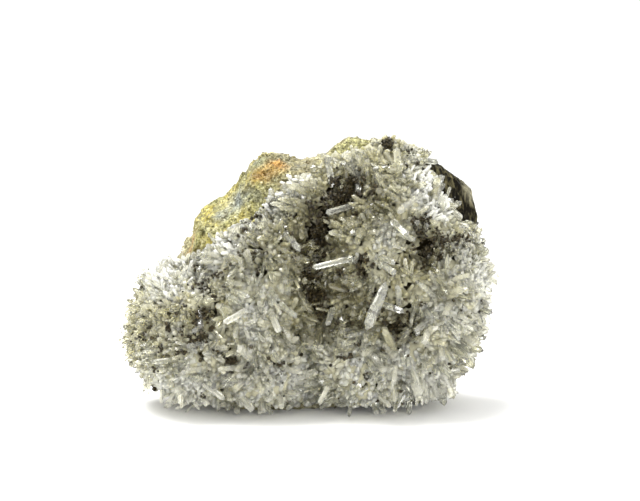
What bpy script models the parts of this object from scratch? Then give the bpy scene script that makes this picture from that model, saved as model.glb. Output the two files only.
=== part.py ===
"""Pyrite with quartz: a broken lump of tarnished pyrite with a druse of needle quartz grown over its front.

The lump is a smooth union of named ellipsoid lobes, some of them cut by fracture faces, measured outwards
from one point inside the rock. One wavy growth surface parts it into the pyrite behind and the quartz in
front. The quartz carries its needle crystals, fused to it. A knob of dark ore grows at the upper right, and
small clusters of dark cube crystals sit in pits of the druse.

All sizes below are millimetres: X to the right, Y away from the viewer, Z up.
"""

import math

import bmesh
import bpy
import numpy as np
from mathutils import Matrix, Vector, noise

MM = 0.001

# Driving dimensions
SHIFT = (0.07, 1.2, 0.0)  # brings the middle of the specimen's box over the origin
GAP = 0.4  # between two minerals that touch, so that their solids stay apart
BODY_POINTS = 1000  # vertices of the whole lump
HEART = np.array((0.0, 2.0, 32.0))  # every lobe is measured outwards from here
BLEND_POWER = 9.0  # how crisply one lobe meets the next
FADE_SHARE = 0.35  # how early a lobe fades out where it is only grazed
DRUSE_PROUD = 1.2  # the crust stands this far above the bare rock
DRUSE_FLOOR = 2.4  # the crust's lower edge is this far above the table
BEDDING = 1.6  # each crystal's root is buried this deep
TIP_SHARE = 1.15  # height of a crystal's point, in radii
FLOOR_CLEARANCE = 0.35  # the lowest crystal tip stays this far above the table

# name: (centre, radii, fracture faces as (point, outward normal))
LOBES = {
    "right_boulder": (
        (19, 0, 34.5),
        (22.5, 21, 29.5),
        (((34.5, 0, 50), (0.82, -0.08, 0.57)), ((38.5, 0, 27), (0.88, -0.05, -0.47))),
    ),
    "right_flank": ((24, -2, 31), (18, 19, 16), ()),
    "left_lobe": ((-26.5, -5, 20.0), (17.5, 17.5, 16.3), ()),
    "left_back": ((-18, 4, 26), (17, 16, 15), ()),
    "ridge_low": ((-14, -8, 19), (17, 15, 17), ()),
    "ridge_mid": ((-9, -6, 31), (16, 16, 17), ()),
    "ridge_high": ((2, -2, 43.5), (13, 13, 16), ()),
    "shoulder": (
        (-12, 8, 38),
        (25.5, 16, 22),
        (((-32.2, 5, 46.0), (-0.95, -0.25, 0.18)), ((-27.0, 5, 49.6), (-0.45, -0.32, 0.83))),
    ),
    "top_knob": (
        (-8, 6, 54),
        (14, 11, 13.5),
        (
            ((-17.8, 5, 57.4), (-0.80, -0.15, 0.58)),
            ((-16, 5, 62.6), (-0.95, -0.05, 0.30)),
            ((-10, 5, 64.6), (0.0, -0.18, 0.98)),
            ((-2, 5, 61.0), (0.50, -0.22, 0.84)),
        ),
    ),
    "crest": (
        (13, 4, 51),
        (16, 12, 20),
        (
            ((14, 3, 68.6), (0.12, -0.15, 0.98)),
            ((25, 2, 62), (0.80, -0.10, 0.59)),
            ((2.0, 3, 61.5), (-0.62, -0.2, 0.76)),
        ),
    ),
    "lower_front": ((16, -6, 17), (18.5, 16, 15.5), ()),
    "back_body": (
        (1, 9, 27),
        (36, 19, 28),
        (
            ((0, 25.5, 30), (0.10, 1.00, 0.12)),
            ((-26, 18, 28), (-0.72, 0.68, 0.12)),
            ((30, 18, 28), (0.66, 0.74, 0.10)),
        ),
    ),
    "foot": ((-1, 5, 14), (32, 19, 22), ()),
}

# Pits in the druse, seen from the front: (x, z, radius, depth)
PITS = {
    "top": (9.6, 55.0, 4.4, 4.6),
    "valley_high": (3.4, 45.5, 4.6, 4.6),
    "valley_low": (0.4, 31.0, 4.6, 4.2),
    "right": (31.0, 40.5, 4.0, 4.2),
    "lower_right": (24.0, 23.0, 4.2, 4.4),
    "left": (-26.5, 21.5, 4.4, 4.0),
    "left_low": (-19.5, 12.5, 3.6, 3.2),
    "ridge": (-12.5, 38.0, 3.2, 2.6),
}

# Where the druse ends: its top edge seen from the front, and how far it wraps round the sides
TOP_EDGE_X = (-52, -42, -36, -31, -27, -22, -15, -8, 0, 5, 11, 20, 27, 33, 38, 44, 52)
TOP_EDGE_Z = (42, 40, 39, 39.5, 42, 46, 52, 56.5, 61, 65, 67, 68.5, 66, 62, 57, 54, 52)
WRAP_X = (-50, -38, -28, -15, 0, 15, 28, 40, 50)
WRAP_Y = (8, 4, -2, -6, -4, 0, 3, 8, 12)
EDGE_LEAN = 3.6  # how steeply the growth surface comes forward at the top edge
EDGE_START = 2.0  # it starts to come forward this far below the edge
FOOT_LEAN = 0.7  # it comes forward again towards the table, so that the rock stands on a broad foot
FOOT_TOP = 9.0
GRID_STEP = 7.5  # between the points of the growth surface

# Crystals seen best in front: (root x, z), (tip x, z), how far the tip stands out, thickness
HERO_CRYSTALS = (
    ((13.8, 31.0), (25.1, 27.3), 2.6, 1.9),
    ((22.4, 29.3), (22.9, 35.3), 2.4, 1.8),
    ((32.9, 18.6), (35.9, 14.1), 3.0, 1.8),
    ((6.8, 28.1), (4.6, 23.2), 3.5, 1.8),
    ((23.2, 16.5), (24.3, 12.6), 3.4, 1.5),
    ((25.2, 17.0), (27.0, 11.8), 3.2, 1.7),
    ((12.0, 54.4), (4.7, 53.0), 3.4, 1.8),
    ((12.0, 61.1), (13.4, 57.0), 3.0, 1.9),
    ((4.9, 62.0), (6.9, 57.2), 3.6, 2.2),
    ((26.9, 55.5), (22.6, 52.6), 3.4, 1.8),
    ((21.4, 49.7), (26.6, 46.8), 3.6, 2.0),
    ((35.4, 52.3), (40.6, 51.2), 4.4, 2.2),
    ((34.0, 53.5), (35.0, 58.2), 3.6, 2.0),
    ((9.4, 40.4), (1.0, 38.5), 3.6, 1.9),
    ((18.6, 41.2), (23.6, 40.6), 3.4, 1.8),
    ((19.0, 43.6), (23.2, 38.0), 3.2, 1.6),
    ((-18.3, 47.4), (-24.7, 37.9), 4.0, 2.1),
    ((-5.2, 46.4), (-1.2, 42.6), 3.2, 1.9),
    ((-28.3, 28.0), (-28.1, 22.6), 3.2, 1.5),
    ((-25.8, 23.8), (-30.2, 22.2), 3.6, 1.7),
    ((-28.0, 19.6), (-33.4, 18.2), 3.2, 1.7),
    ((-9.4, 26.4), (-7.2, 21.4), 3.6, 1.9),
    ((-8.6, 29.6), (-2.6, 26.0), 3.2, 1.8),
    ((-16.0, 27.6), (-22.8, 24.2), 3.2, 1.8),
    ((-31.0, 36.0), (-28.6, 32.6), 3.0, 1.5),
    ((-16.6, 6.4), (-14.3, 1.6), 3.0, 2.0),
    ((-40.6, 10.0), (-40.4, 5.4), 2.6, 1.7),
    ((6.6, 5.2), (12.8, 4.4), 3.4, 2.0),
    ((2.6, 6.6), (-1.4, 2.6), 3.2, 2.0),
    ((16.4, 6.0), (18.0, 1.4), 3.0, 2.1),
    ((27.0, 5.6), (25.4, 1.4), 2.6, 2.0),
    ((-4.4, 6.2), (-6.2, 2.0), 3.2, 1.9),
    ((27.0, 61.5), (33.4, 63.4), 2.2, 1.8),
    ((22.5, 63.0), (26.6, 67.6), 2.2, 1.8),
)
# The doubly pointed crystal that lies across its neighbours: two tips (x, z), stand-out, thickness
CROSSING_CRYSTAL = ((15.0, 22.6), (20.9, 34.8), 1.0, 2.3)

SPRAY_COUNT = 36  # bunches of crystals that spread from one spot
SPRAY_SPACING = 6.0
SPRAY_CRYSTALS = (2, 4)
SPRAY_SPREAD = 0.85
SPRAY_LENGTH = (4.2, 7.6)
SPRAY_THICKNESS = (1.5, 2.3)
SIDE_SHORTER = 0.55  # crystals at the sides are shorter by this share
SEED = 7

# Clusters of dark cubes: (x, z) seen from the front, cube size, number of cubes
CLUSTERS = {
    "pyrite_cluster_top_pit": ((9.6, 55.2), 2.3, 5),
    "pyrite_cluster_valley_high": ((3.4, 45.7), 2.4, 5),
    "pyrite_cluster_valley_low": ((0.4, 31.2), 2.3, 5),
    "pyrite_cluster_right": ((31.0, 40.7), 2.3, 5),
    "pyrite_cluster_lower_right": ((24.0, 23.2), 2.5, 5),
    "pyrite_cluster_left": ((-26.5, 21.7), 2.2, 5),
    "pyrite_cluster_left_low": ((-19.5, 12.7), 1.9, 4),
    "pyrite_cluster_crest": ((19.5, 67.0), 1.9, 4),
}
CLUSTER_ROOM = 1.3  # no crystal is rooted within this many cluster radii

# The dark ore knob at the upper right
KNOB_CENTRE = np.array((33.5, 7.0, 51.5))
KNOB_RADII = (13.0, 12.0, 15.0)
KNOB_POINTS = 260
KNOB_FACES = (
    ((36.0, -1.6, 52.0), (0.34, -0.92, 0.18)),
    ((42.9, 8.0, 52.0), (0.98, 0.14, 0.12)),
    ((41.0, 2.0, 56.0), (0.72, -0.42, 0.55)),
    ((38.0, 8.0, 58.8), (0.55, 0.12, 0.83)),
    ((36.0, 15.0, 52.0), (0.22, 0.96, 0.15)),
    ((40.5, 13.0, 50.0), (0.74, 0.66, -0.10)),
    ((41.0, 6.0, 43.5), (0.66, -0.10, -0.74)),
    ((36.0, 9.0, 52.0), (0.25, 0.95, 0.1)),
)

# Fracture faces that flatten the bare rock: (point, outward normal)
ROCK_FACES = (
    ((-31.5, 4.0, 43.0), (-0.93, -0.12, 0.35)),
    ((-24.0, 16.0, 48.0), (-0.55, 0.62, 0.56)),
    ((-9.0, 19.0, 51.0), (-0.22, 0.76, 0.61)),
    ((6.0, 13.0, 64.0), (0.08, 0.58, 0.81)),
    ((17.0, 19.5, 48.0), (0.38, 0.82, 0.42)),
    ((31.5, 16.0, 36.0), (0.82, 0.55, 0.15)),
    ((-36.0, 14.0, 27.0), (-0.74, 0.67, 0.06)),
    ((1.0, 24.5, 26.0), (0.12, 0.99, -0.08)),
    ((-16.0, 22.0, 12.0), (-0.34, 0.80, -0.50)),
    ((16.0, 22.0, 11.0), (0.26, 0.78, -0.57)),
    ((-38.0, 9.0, 12.0), (-0.80, 0.40, -0.45)),
    ((36.0, 12.0, 14.0), (0.86, 0.34, -0.38)),
)
# Ledges broken out of the back: (corner, size, turn about Z, X and Y in degrees)
LEDGES = (
    ((-22.0, 27.0, 46.0), (24.0, 18.0, 16.0), (24, 10, 12)),
    ((14.0, 29.0, 22.0), (26.0, 15.0, 14.0), (-14, 12, -6)),
    ((0.0, 23.0, 66.0), (24.0, 18.0, 14.0), (8, -22, 6)),
    ((39.0, 26.0, 38.0), (14.0, 18.0, 18.0), (-30, 8, 14)),
    ((-30.0, 25.0, 18.0), (18.0, 16.0, 14.0), (34, 12, -8)),
    ((2.0, 30.0, 38.0), (14.0, 12.0, 16.0), (10, -6, 10)),
)


def unit(vector):
    """The vector at length 1."""
    return np.asarray(vector, float) / np.linalg.norm(vector)


def cut_by_faces(reach, directions, start, faces):
    """Shortens each reach from start to the first fracture face that its direction meets."""
    for point, normal in faces:
        normal = unit(normal)
        facing = directions @ normal
        height = (np.array(point, float) - start) @ normal
        met = facing > 1e-3
        reach = np.where(met, np.minimum(reach, height / np.where(met, facing, 1.0)), reach)
    return reach


def lobe_reach(directions, centre, radii, faces):
    """How far each direction runs from the heart before it leaves the lobe, and 0 where it misses."""
    radii = np.array(radii, float)
    offset = (HEART - np.array(centre, float)) / radii
    way = directions / radii
    a = (way * way).sum(1)
    b = way @ offset
    clear = b * b / a - (offset @ offset - 1)
    reach = np.where(clear > 0, (-b + np.sqrt(np.maximum(clear, 0) * a)) / a, 0)
    share = np.clip(clear / FADE_SHARE, 0, 1)
    reach = np.maximum(reach, 0) * share * share * (3 - 2 * share)
    return cut_by_faces(reach, directions, HEART, faces)


def lumpiness(point):
    """Small lumps of the surface at a point, in millimetres."""
    p = Vector(point)
    return 1.3 * noise.noise(p / 11.0) + 0.7 * noise.noise(p / 5.0 + Vector((9, 4, 2)))


def envelope(directions):
    """Distance from the heart to the rock's outside, lumps and pits included, for each direction."""
    reaches = [lobe_reach(directions, *lobe) for lobe in LOBES.values()]
    reach = sum(r**BLEND_POWER for r in reaches) ** (1 / BLEND_POWER)
    points = HEART + directions * reach[:, None]
    reach = reach + np.array([lumpiness(p) for p in points])
    front = np.clip(-directions[:, 1] * 4, 0, 1)
    for x, z, radius, depth in PITS.values():
        far = ((points[:, 0] - x) ** 2 + (points[:, 2] - z) ** 2) / radius**2
        reach = reach - front * depth * np.exp(-far)
    return reach


def outside(directions):
    """Points on the rock's outside."""
    directions = np.atleast_2d(directions)
    return HEART + directions * envelope(directions)[:, None]


def outward(direction):
    """The rock's outward normal where this direction leaves it, smoothed over about 2 mm."""
    direction = unit(direction)
    side = unit(np.cross(direction, (0.31, 0.22, 0.93)))
    other = np.cross(direction, side)
    around = [direction + 0.06 * (side * math.cos(t) + other * math.sin(t)) for t in (0, 2.09, 4.19)]
    a, b, c = outside(np.array([unit(d) for d in around]))
    normal = np.cross(b - a, c - a)
    return unit(normal if normal @ direction > 0 else -normal)


def front_direction(x, z):
    """The direction in which the rock's front face lies at this x and z, found by halving."""
    near, far = -60.0, HEART[1] - 1.0
    for _ in range(30):
        middle = (near + far) / 2
        way = np.array((x, middle, z)) - HEART
        inside = np.linalg.norm(way) < envelope(unit(way)[None])[0]
        near, far = (near, middle) if inside else (middle, far)
    return unit(np.array((x, near, z)) - HEART)


def growth_y(x, z):
    """The growth surface between pyrite and quartz: quartz lies at smaller y than this."""
    wrap = np.interp(x, WRAP_X, WRAP_Y)
    over = z - np.interp(x, TOP_EDGE_X, TOP_EDGE_Z)
    wave = 1.6 * noise.noise(Vector((x / 9, 3.0, z / 9)))
    lean = EDGE_LEAN * max(0.0, over + EDGE_START) + FOOT_LEAN * max(0.0, FOOT_TOP - z)
    return wrap - lean + wave


def beyond_growth(point, room):
    """Whether a crystal this thick would reach the growth surface from in front."""
    x, y, z = point
    around = ((0, 0), (room, 0), (-room, 0), (0, room), (0, -room))
    return any(y + room > growth_y(x + a, z + b) - 0.2 for a, b in around)


def on_druse(point):
    """Whether a point of the outside is well inside the druse's area."""
    x, y, z = point
    return y < growth_y(x, z) - 1.0 and z > DRUSE_FLOOR + 0.8


def material(name, colour, roughness, metallic=0.0):
    """A Principled material with these plain values."""
    made = bpy.data.materials.new(name)
    made.use_nodes = True
    shader = made.node_tree.nodes["Principled BSDF"]
    shader.inputs["Base Color"].default_value = (*colour, 1.0)
    shader.inputs["Roughness"].default_value = roughness
    shader.inputs["Metallic"].default_value = metallic
    return made


def new_object(name, bm, finish=None):
    """An object from a bmesh in millimetres, shifted and scaled to metres."""
    bmesh.ops.translate(bm, vec=SHIFT, verts=bm.verts)
    bmesh.ops.scale(bm, vec=(MM, MM, MM), verts=bm.verts)
    bmesh.ops.recalc_face_normals(bm, faces=bm.faces)
    if bm.calc_volume(signed=True) < 0:
        bmesh.ops.reverse_faces(bm, faces=bm.faces)
    mesh = bpy.data.meshes.new(name)
    bm.to_mesh(mesh)
    bm.free()
    made = bpy.data.objects.new(name, mesh)
    bpy.context.scene.collection.objects.link(made)
    if finish:
        mesh.materials.append(finish)
    return made


def helper(obj, group=None):
    """Keeps a cutter or a piece to be fused out of the model itself."""
    obj.hide_render = True
    obj.display_type = "WIRE"
    if group:
        bpy.context.scene.collection.objects.unlink(obj)
        group.objects.link(obj)
    return obj


def helper_group(name):
    """A collection that holds helpers."""
    group = bpy.data.collections.new(name)
    bpy.context.scene.collection.children.link(group)
    return group


def boolean(obj, operation, other):
    """A Boolean modifier with one object or a whole collection."""
    modifier = obj.modifiers.new(operation.title(), "BOOLEAN")
    modifier.operation = operation
    modifier.solver = "EXACT"
    if isinstance(other, bpy.types.Collection):
        modifier.operand_type = "COLLECTION"
        modifier.collection = other
    else:
        modifier.object = other
    return modifier


def even_directions(count):
    """Unit vectors spread evenly over the sphere, on a spiral."""
    i = np.arange(count) + 0.5
    height = 1 - 2 * i / count
    turn = i * math.pi * (3 - math.sqrt(5))
    flat = np.sqrt(1 - height**2)
    return np.stack([flat * np.cos(turn), flat * np.sin(turn), height], axis=1)


def star_shape(directions, points):
    """A closed mesh that joins the points as their directions lie on the sphere."""
    bm = bmesh.new()
    for direction in directions:
        bm.verts.new(direction)
    bm.verts.ensure_lookup_table()
    bmesh.ops.convex_hull(bm, input=bm.verts)
    for vertex, point in zip(bm.verts, points):
        vertex.co = point
    return bm


def flatten(bm, point, normal):
    """Cuts off what lies beyond a plane and closes the cut."""
    cut = bmesh.ops.bisect_plane(
        bm,
        geom=bm.verts[:] + bm.edges[:] + bm.faces[:],
        plane_co=point,
        plane_no=normal,
        clear_outer=True,
        dist=1e-4,
    )
    edges = [e for e in cut["geom_cut"] if isinstance(e, bmesh.types.BMEdge)]
    bmesh.ops.holes_fill(bm, edges=edges)


def growth_block(name, offset, floor):
    """A block in front of the growth surface, moved by offset along that surface's normals."""
    xs = np.arange(-60, 61, GRID_STEP)
    zs = np.arange(floor, 90, GRID_STEP)
    bm = bmesh.new()
    rows = [[bm.verts.new((x, growth_y(x, z), z)) for x in xs] for z in zs]
    for low, high in zip(rows, rows[1:]):
        for i in range(len(xs) - 1):
            bm.faces.new((low[i], low[i + 1], high[i + 1], high[i]))
    bmesh.ops.triangulate(bm, faces=bm.faces)
    bm.normal_update()
    moves = [(v, v.normal.copy()) for v in bm.verts]
    for vertex, normal in moves:
        vertex.co += offset * (normal if normal.y > 0 else -normal)
    rim = [e for e in bm.edges if e.is_boundary]
    pushed = bmesh.ops.extrude_edge_only(bm, edges=rim)["geom"]
    for vertex in pushed:
        if isinstance(vertex, bmesh.types.BMVert):
            vertex.co.y = -90
    bmesh.ops.holes_fill(bm, edges=[e for e in bm.edges if e.is_boundary])
    return helper(new_object(name, bm))


def crystal(name, root, tip, thickness, group, double=False):
    """A six-sided quartz prism with a pointed end, or with two."""
    root, tip = Vector(root), Vector(tip)
    axis = (tip - root).normalized()
    length = (tip - root).length
    radius = thickness / 2
    point = TIP_SHARE * radius
    turn = axis.to_track_quat("Z", "Y").to_matrix().to_4x4()
    rings = [(0.0, 0.0), (point, 0.96)] if double else [(-BEDDING, 1.0)]
    rings += [(length - point, 0.9), (length, 0.0)]
    bm = bmesh.new()
    made = []
    for height, share in rings:
        if share == 0:
            made.append([bm.verts.new((0, 0, height))])
            continue
        corners = [k * math.pi / 3 for k in range(6)]
        made.append(
            [bm.verts.new((radius * share * math.cos(t), radius * share * math.sin(t), height)) for t in corners]
        )
    for low, high in zip(made, made[1:]):
        for k in range(6):
            after = (k + 1) % 6
            if len(low) == 1:
                bm.faces.new((low[0], high[after], high[k]))
            elif len(high) == 1:
                bm.faces.new((low[k], low[after], high[0]))
            else:
                bm.faces.new((low[k], low[after], high[after], high[k]))
    if not double:
        bm.faces.new(made[0])
    bmesh.ops.transform(bm, matrix=Matrix.Translation(root) @ turn, verts=bm.verts)
    return helper(new_object(name, bm), group)


def spray_crystals():
    """(root, tip, thickness) of the crystals that spread in bunches over the whole druse."""
    rng = np.random.default_rng(SEED)
    centres = []
    found = []
    for _ in range(4000):
        if len(centres) == SPRAY_COUNT:
            break
        direction = unit(rng.normal(size=3))
        spot = outside(direction)[0] + DRUSE_PROUD * direction
        if not on_druse(spot) or near_cluster(spot):
            continue
        if any(np.linalg.norm(spot - c) < SPRAY_SPACING for c in centres):
            continue
        centres.append(spot)
        normal = outward(direction)
        for _ in range(rng.integers(SPRAY_CRYSTALS[0], SPRAY_CRYSTALS[1] + 1)):
            axis = unit(normal + SPRAY_SPREAD * rng.uniform(-1, 1, 3))
            length = rng.uniform(*SPRAY_LENGTH) * (1 - SIDE_SHORTER * (1 - max(0.0, -normal[1])))
            thickness = rng.uniform(*SPRAY_THICKNESS)
            root = spot + 0.9 * rng.uniform(-1, 1, 3)
            root = root - normal * ((root - spot) @ normal)
            found.append((root, root + axis * length, thickness))
    return found


def hero_crystals():
    """(root, tip, thickness) of the crystals placed by hand."""
    found = []
    for (root_x, root_z), (tip_x, tip_z), stand_out, thickness in HERO_CRYSTALS:
        direction = front_direction(root_x, root_z)
        root = outside(direction)[0] + DRUSE_PROUD * direction
        tip = np.array((tip_x, root[1] - stand_out, tip_z))
        found.append((root, tip, thickness))
    return found


def cluster_spot(x, z):
    """Where a cluster sits: on the druse at this x and z, and its outward normal."""
    direction = front_direction(x, z)
    return outside(direction)[0] + DRUSE_PROUD * direction, outward(direction)


def near_cluster(point):
    """Whether a point is too close to a cluster of dark cubes."""
    return any(np.linalg.norm(point - spot) < CLUSTER_ROOM * 1.9 * size for spot, size in CLUSTER_SPOTS)


def stays_clear(root, tip, thickness):
    """Whether a crystal keeps off the table, the bare rock, the ore knob and the dark clusters."""
    if min(root[2], tip[2]) < FLOOR_CLEARANCE + thickness / 2:
        return False
    bedded = -BEDDING / np.linalg.norm(tip - root)
    for share in np.linspace(bedded, 1, 9):
        point = root + share * (tip - root)
        if near_cluster(point):
            return False
        if (np.abs((point - KNOB_CENTRE) / (np.array(KNOB_RADII) + thickness)) ** 2).sum() < 1:
            return False
        way = point - HEART
        deep = np.linalg.norm(way) < envelope(unit(way)[None])[0] + thickness
        if deep and beyond_growth(point, thickness * 0.7):
            return False
    return True


def cube_cluster(spot, normal, size, count, grow, seed):
    """Corner lists of a cluster's cubes, each larger by grow on every side."""
    rng = np.random.default_rng(seed)
    side = unit(np.cross(normal, (0.1, 0.2, 0.97)))
    other = np.cross(normal, side)
    boxes = []
    for i in range(count):
        angle = 2 * math.pi * i / max(1, count - 1) + rng.uniform(-0.3, 0.3)
        out = 0.0 if i == 0 else 0.62 * size
        middle = spot + out * (side * math.cos(angle) + other * math.sin(angle))
        middle = middle + normal * (0.28 * size if i == 0 else 0.05 * size)
        half = size * (0.5 if i == 0 else rng.uniform(0.32, 0.44)) + grow
        turn = Vector(rng.normal(size=3)).to_track_quat("Z", "X").to_matrix().to_4x4()
        boxes.append(Matrix.Translation(Vector(middle)) @ turn @ Matrix.Scale(2 * half, 4))
    return boxes


def add_cube(name, placement, group):
    """One cube as a helper."""
    bm = bmesh.new()
    bmesh.ops.create_cube(bm, size=1.0, matrix=placement)
    return helper(new_object(name, bm), group)


def make_clusters(finish):
    """The clusters of dark cubes, and the group of cutters that makes their seats in the druse."""
    seats = helper_group("cluster_seats")
    for number, (name, ((x, z), size, count)) in enumerate(CLUSTERS.items()):
        spot, normal = cluster_spot(x, z)
        cubes = cube_cluster(spot, normal, size, count, 0.0, number)
        bm = bmesh.new()
        bmesh.ops.create_cube(bm, size=1.0, matrix=cubes[0])
        cluster = new_object(name, bm, finish)
        group = helper_group(name + "_cubes")
        for i, placement in enumerate(cubes[1:]):
            add_cube(f"{name}_cube_{i}", placement, group)
        boolean(cluster, "UNION", group)
        for i, placement in enumerate(cube_cluster(spot, normal, size, count, GAP, number)):
            add_cube(f"{name}_seat_{i}", placement, seats)
    return seats


def make_matrix(finish):
    """The pyrite lump, with its fracture faces, ledges and flat base."""
    directions = even_directions(BODY_POINTS)
    bm = star_shape(directions, outside(directions))
    for point, normal in ROCK_FACES:
        flatten(bm, point, normal)
    flatten(bm, (0, 0, 0), (0, 0, -1))
    matrix = new_object("pyrite_matrix", bm, finish)
    boolean(matrix, "DIFFERENCE", growth_block("growth_block_behind", GAP, -22.0))
    ledges = helper_group("ledge_cutters")
    for i, (corner, size, turns) in enumerate(LEDGES):
        about_z, about_x, about_y = (math.radians(t) for t in turns)
        turn = Matrix.Rotation(about_z, 4, "Z") @ Matrix.Rotation(about_x, 4, "X")
        turn = turn @ Matrix.Rotation(about_y, 4, "Y")
        place = Matrix.Translation(Vector(corner)) @ turn @ Matrix.Diagonal((*size, 1))
        add_cube(f"ledge_{i}", place, ledges)
    boolean(matrix, "DIFFERENCE", ledges)
    return matrix


def make_druse(finish, seats):
    """The quartz crust with its crystals fused on."""
    directions = even_directions(BODY_POINTS)
    points = outside(directions) + DRUSE_PROUD * directions
    bm = star_shape(directions, points)
    flatten(bm, (0, 0, DRUSE_FLOOR), (0, 0, -1))
    druse = new_object("quartz_druse", bm, finish)
    boolean(druse, "INTERSECT", growth_block("growth_block_front", 0.0, -22.0))
    crystals = helper_group("crystals")
    placed = [c for c in hero_crystals() + spray_crystals() if stays_clear(*c)]
    for i, (root, tip, thickness) in enumerate(placed):
        crystal(f"crystal_{i}", root, tip, thickness, crystals)
    (low_x, low_z), (high_x, high_z), stand_out, thickness = CROSSING_CRYSTAL
    middle = cluster_spot((low_x + high_x) / 2, (low_z + high_z) / 2)[0][1] - stand_out
    ends = (low_x, middle - 0.6, low_z), (high_x, middle + 0.6, high_z)
    crystal("crossing_crystal", *ends, thickness, crystals, double=True)
    boolean(druse, "UNION", crystals)
    boolean(druse, "DIFFERENCE", seats)
    print(len(placed) + 1, "crystals")
    return druse


def make_knob(finish):
    """The dark ore knob, seated against the rock."""
    directions = even_directions(KNOB_POINTS)
    radii = np.array(KNOB_RADII)
    reach = 1 / np.sqrt(((directions / radii) ** 2).sum(1))
    reach = cut_by_faces(reach, directions, KNOB_CENTRE, KNOB_FACES)
    points = KNOB_CENTRE + directions * reach[:, None]
    points = points + directions * np.array([[0.35 * noise.noise(Vector(p) / 4)] for p in points])
    knob = new_object("dark_ore_knob", star_shape(directions, points), finish)
    around = even_directions(BODY_POINTS)
    seat = outside(around) + (DRUSE_PROUD + GAP) * around
    boolean(knob, "DIFFERENCE", helper(new_object("knob_seat", star_shape(around, seat))))
    return knob


def build():
    for obj in list(bpy.data.objects):
        bpy.data.objects.remove(obj)
    pyrite = material("tarnished_pyrite", (0.42, 0.34, 0.14), 0.42, 0.7)
    ore = material("dark_ore", (0.07, 0.055, 0.04), 0.45, 0.4)
    grains = material("dark_pyrite", (0.05, 0.045, 0.035), 0.35, 0.6)
    quartz = material("quartz", (0.72, 0.71, 0.62), 0.18)
    make_matrix(pyrite)
    make_knob(ore)
    make_druse(quartz, make_clusters(grains))


CLUSTER_SPOTS = [(cluster_spot(x, z)[0], size) for (x, z), size, _ in CLUSTERS.values()]
build()
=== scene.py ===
"""Pyrite with quartz: the visible surfaces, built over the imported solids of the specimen.

Lengths are millimetres in the lump's own frame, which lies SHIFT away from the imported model's; meshes are
moved and scaled to metres when they are made. X runs to the viewer's right, Y away from the viewer, Z up.
Properties with a length unit, voxel sizes, the floor and the lamps are in metres.
"""

import math

import bmesh
import bpy
import numpy as np
from bpy.props import FloatProperty, FloatVectorProperty, IntProperty, PointerProperty
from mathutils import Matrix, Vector, noise


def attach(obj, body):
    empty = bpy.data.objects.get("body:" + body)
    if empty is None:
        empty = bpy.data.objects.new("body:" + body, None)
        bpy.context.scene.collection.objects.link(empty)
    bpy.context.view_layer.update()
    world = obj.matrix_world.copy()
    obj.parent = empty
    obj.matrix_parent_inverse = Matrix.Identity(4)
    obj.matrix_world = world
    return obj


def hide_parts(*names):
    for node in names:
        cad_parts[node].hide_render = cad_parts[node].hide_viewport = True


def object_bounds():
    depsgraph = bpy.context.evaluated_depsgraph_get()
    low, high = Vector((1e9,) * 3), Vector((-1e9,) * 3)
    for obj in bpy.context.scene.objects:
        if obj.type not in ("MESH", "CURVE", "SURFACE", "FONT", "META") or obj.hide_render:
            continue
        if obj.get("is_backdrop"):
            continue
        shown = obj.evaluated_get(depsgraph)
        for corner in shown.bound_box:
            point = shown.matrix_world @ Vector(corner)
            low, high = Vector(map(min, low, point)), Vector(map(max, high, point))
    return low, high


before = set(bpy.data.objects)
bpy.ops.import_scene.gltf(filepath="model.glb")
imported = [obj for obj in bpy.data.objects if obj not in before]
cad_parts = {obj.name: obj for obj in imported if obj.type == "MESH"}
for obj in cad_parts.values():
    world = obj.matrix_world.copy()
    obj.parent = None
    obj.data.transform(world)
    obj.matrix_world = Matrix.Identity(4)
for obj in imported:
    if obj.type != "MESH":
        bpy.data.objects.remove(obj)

bl_info = {
    "name": "Pyrite with Quartz",
    "version": (1, 0, 0),
    "blender": (4, 5, 0),
    "location": "View3D > Sidebar > Specimen",
    "description": "Builds a pyrite lump with a druse of needle quartz, and a plain studio for it",
    "category": "Object",
}

MM = 0.001
CAD_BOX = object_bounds()

# The photograph's view of the lump, and the shift of its middle in a picture of this width
LOOK = np.array((3.0, 0.0, 35.0))
CAMERA_DISTANCE = 500.0
TILT = math.radians(9)
PICTURE_WIDTH_PX = 640
PICTURE_SHIFT_PX = (0.5, 19.5)

# The lump that the solids were cut from, before their shift to the middle of the box
SHIFT = np.array((0.07, 1.2, 0.0))
HEART = np.array((0.0, 2.0, 32.0))
BLEND_POWER = 9.0
FADE_SHARE = 0.35
DRUSE_PROUD = 1.2
DRUSE_FLOOR = 2.4

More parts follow.
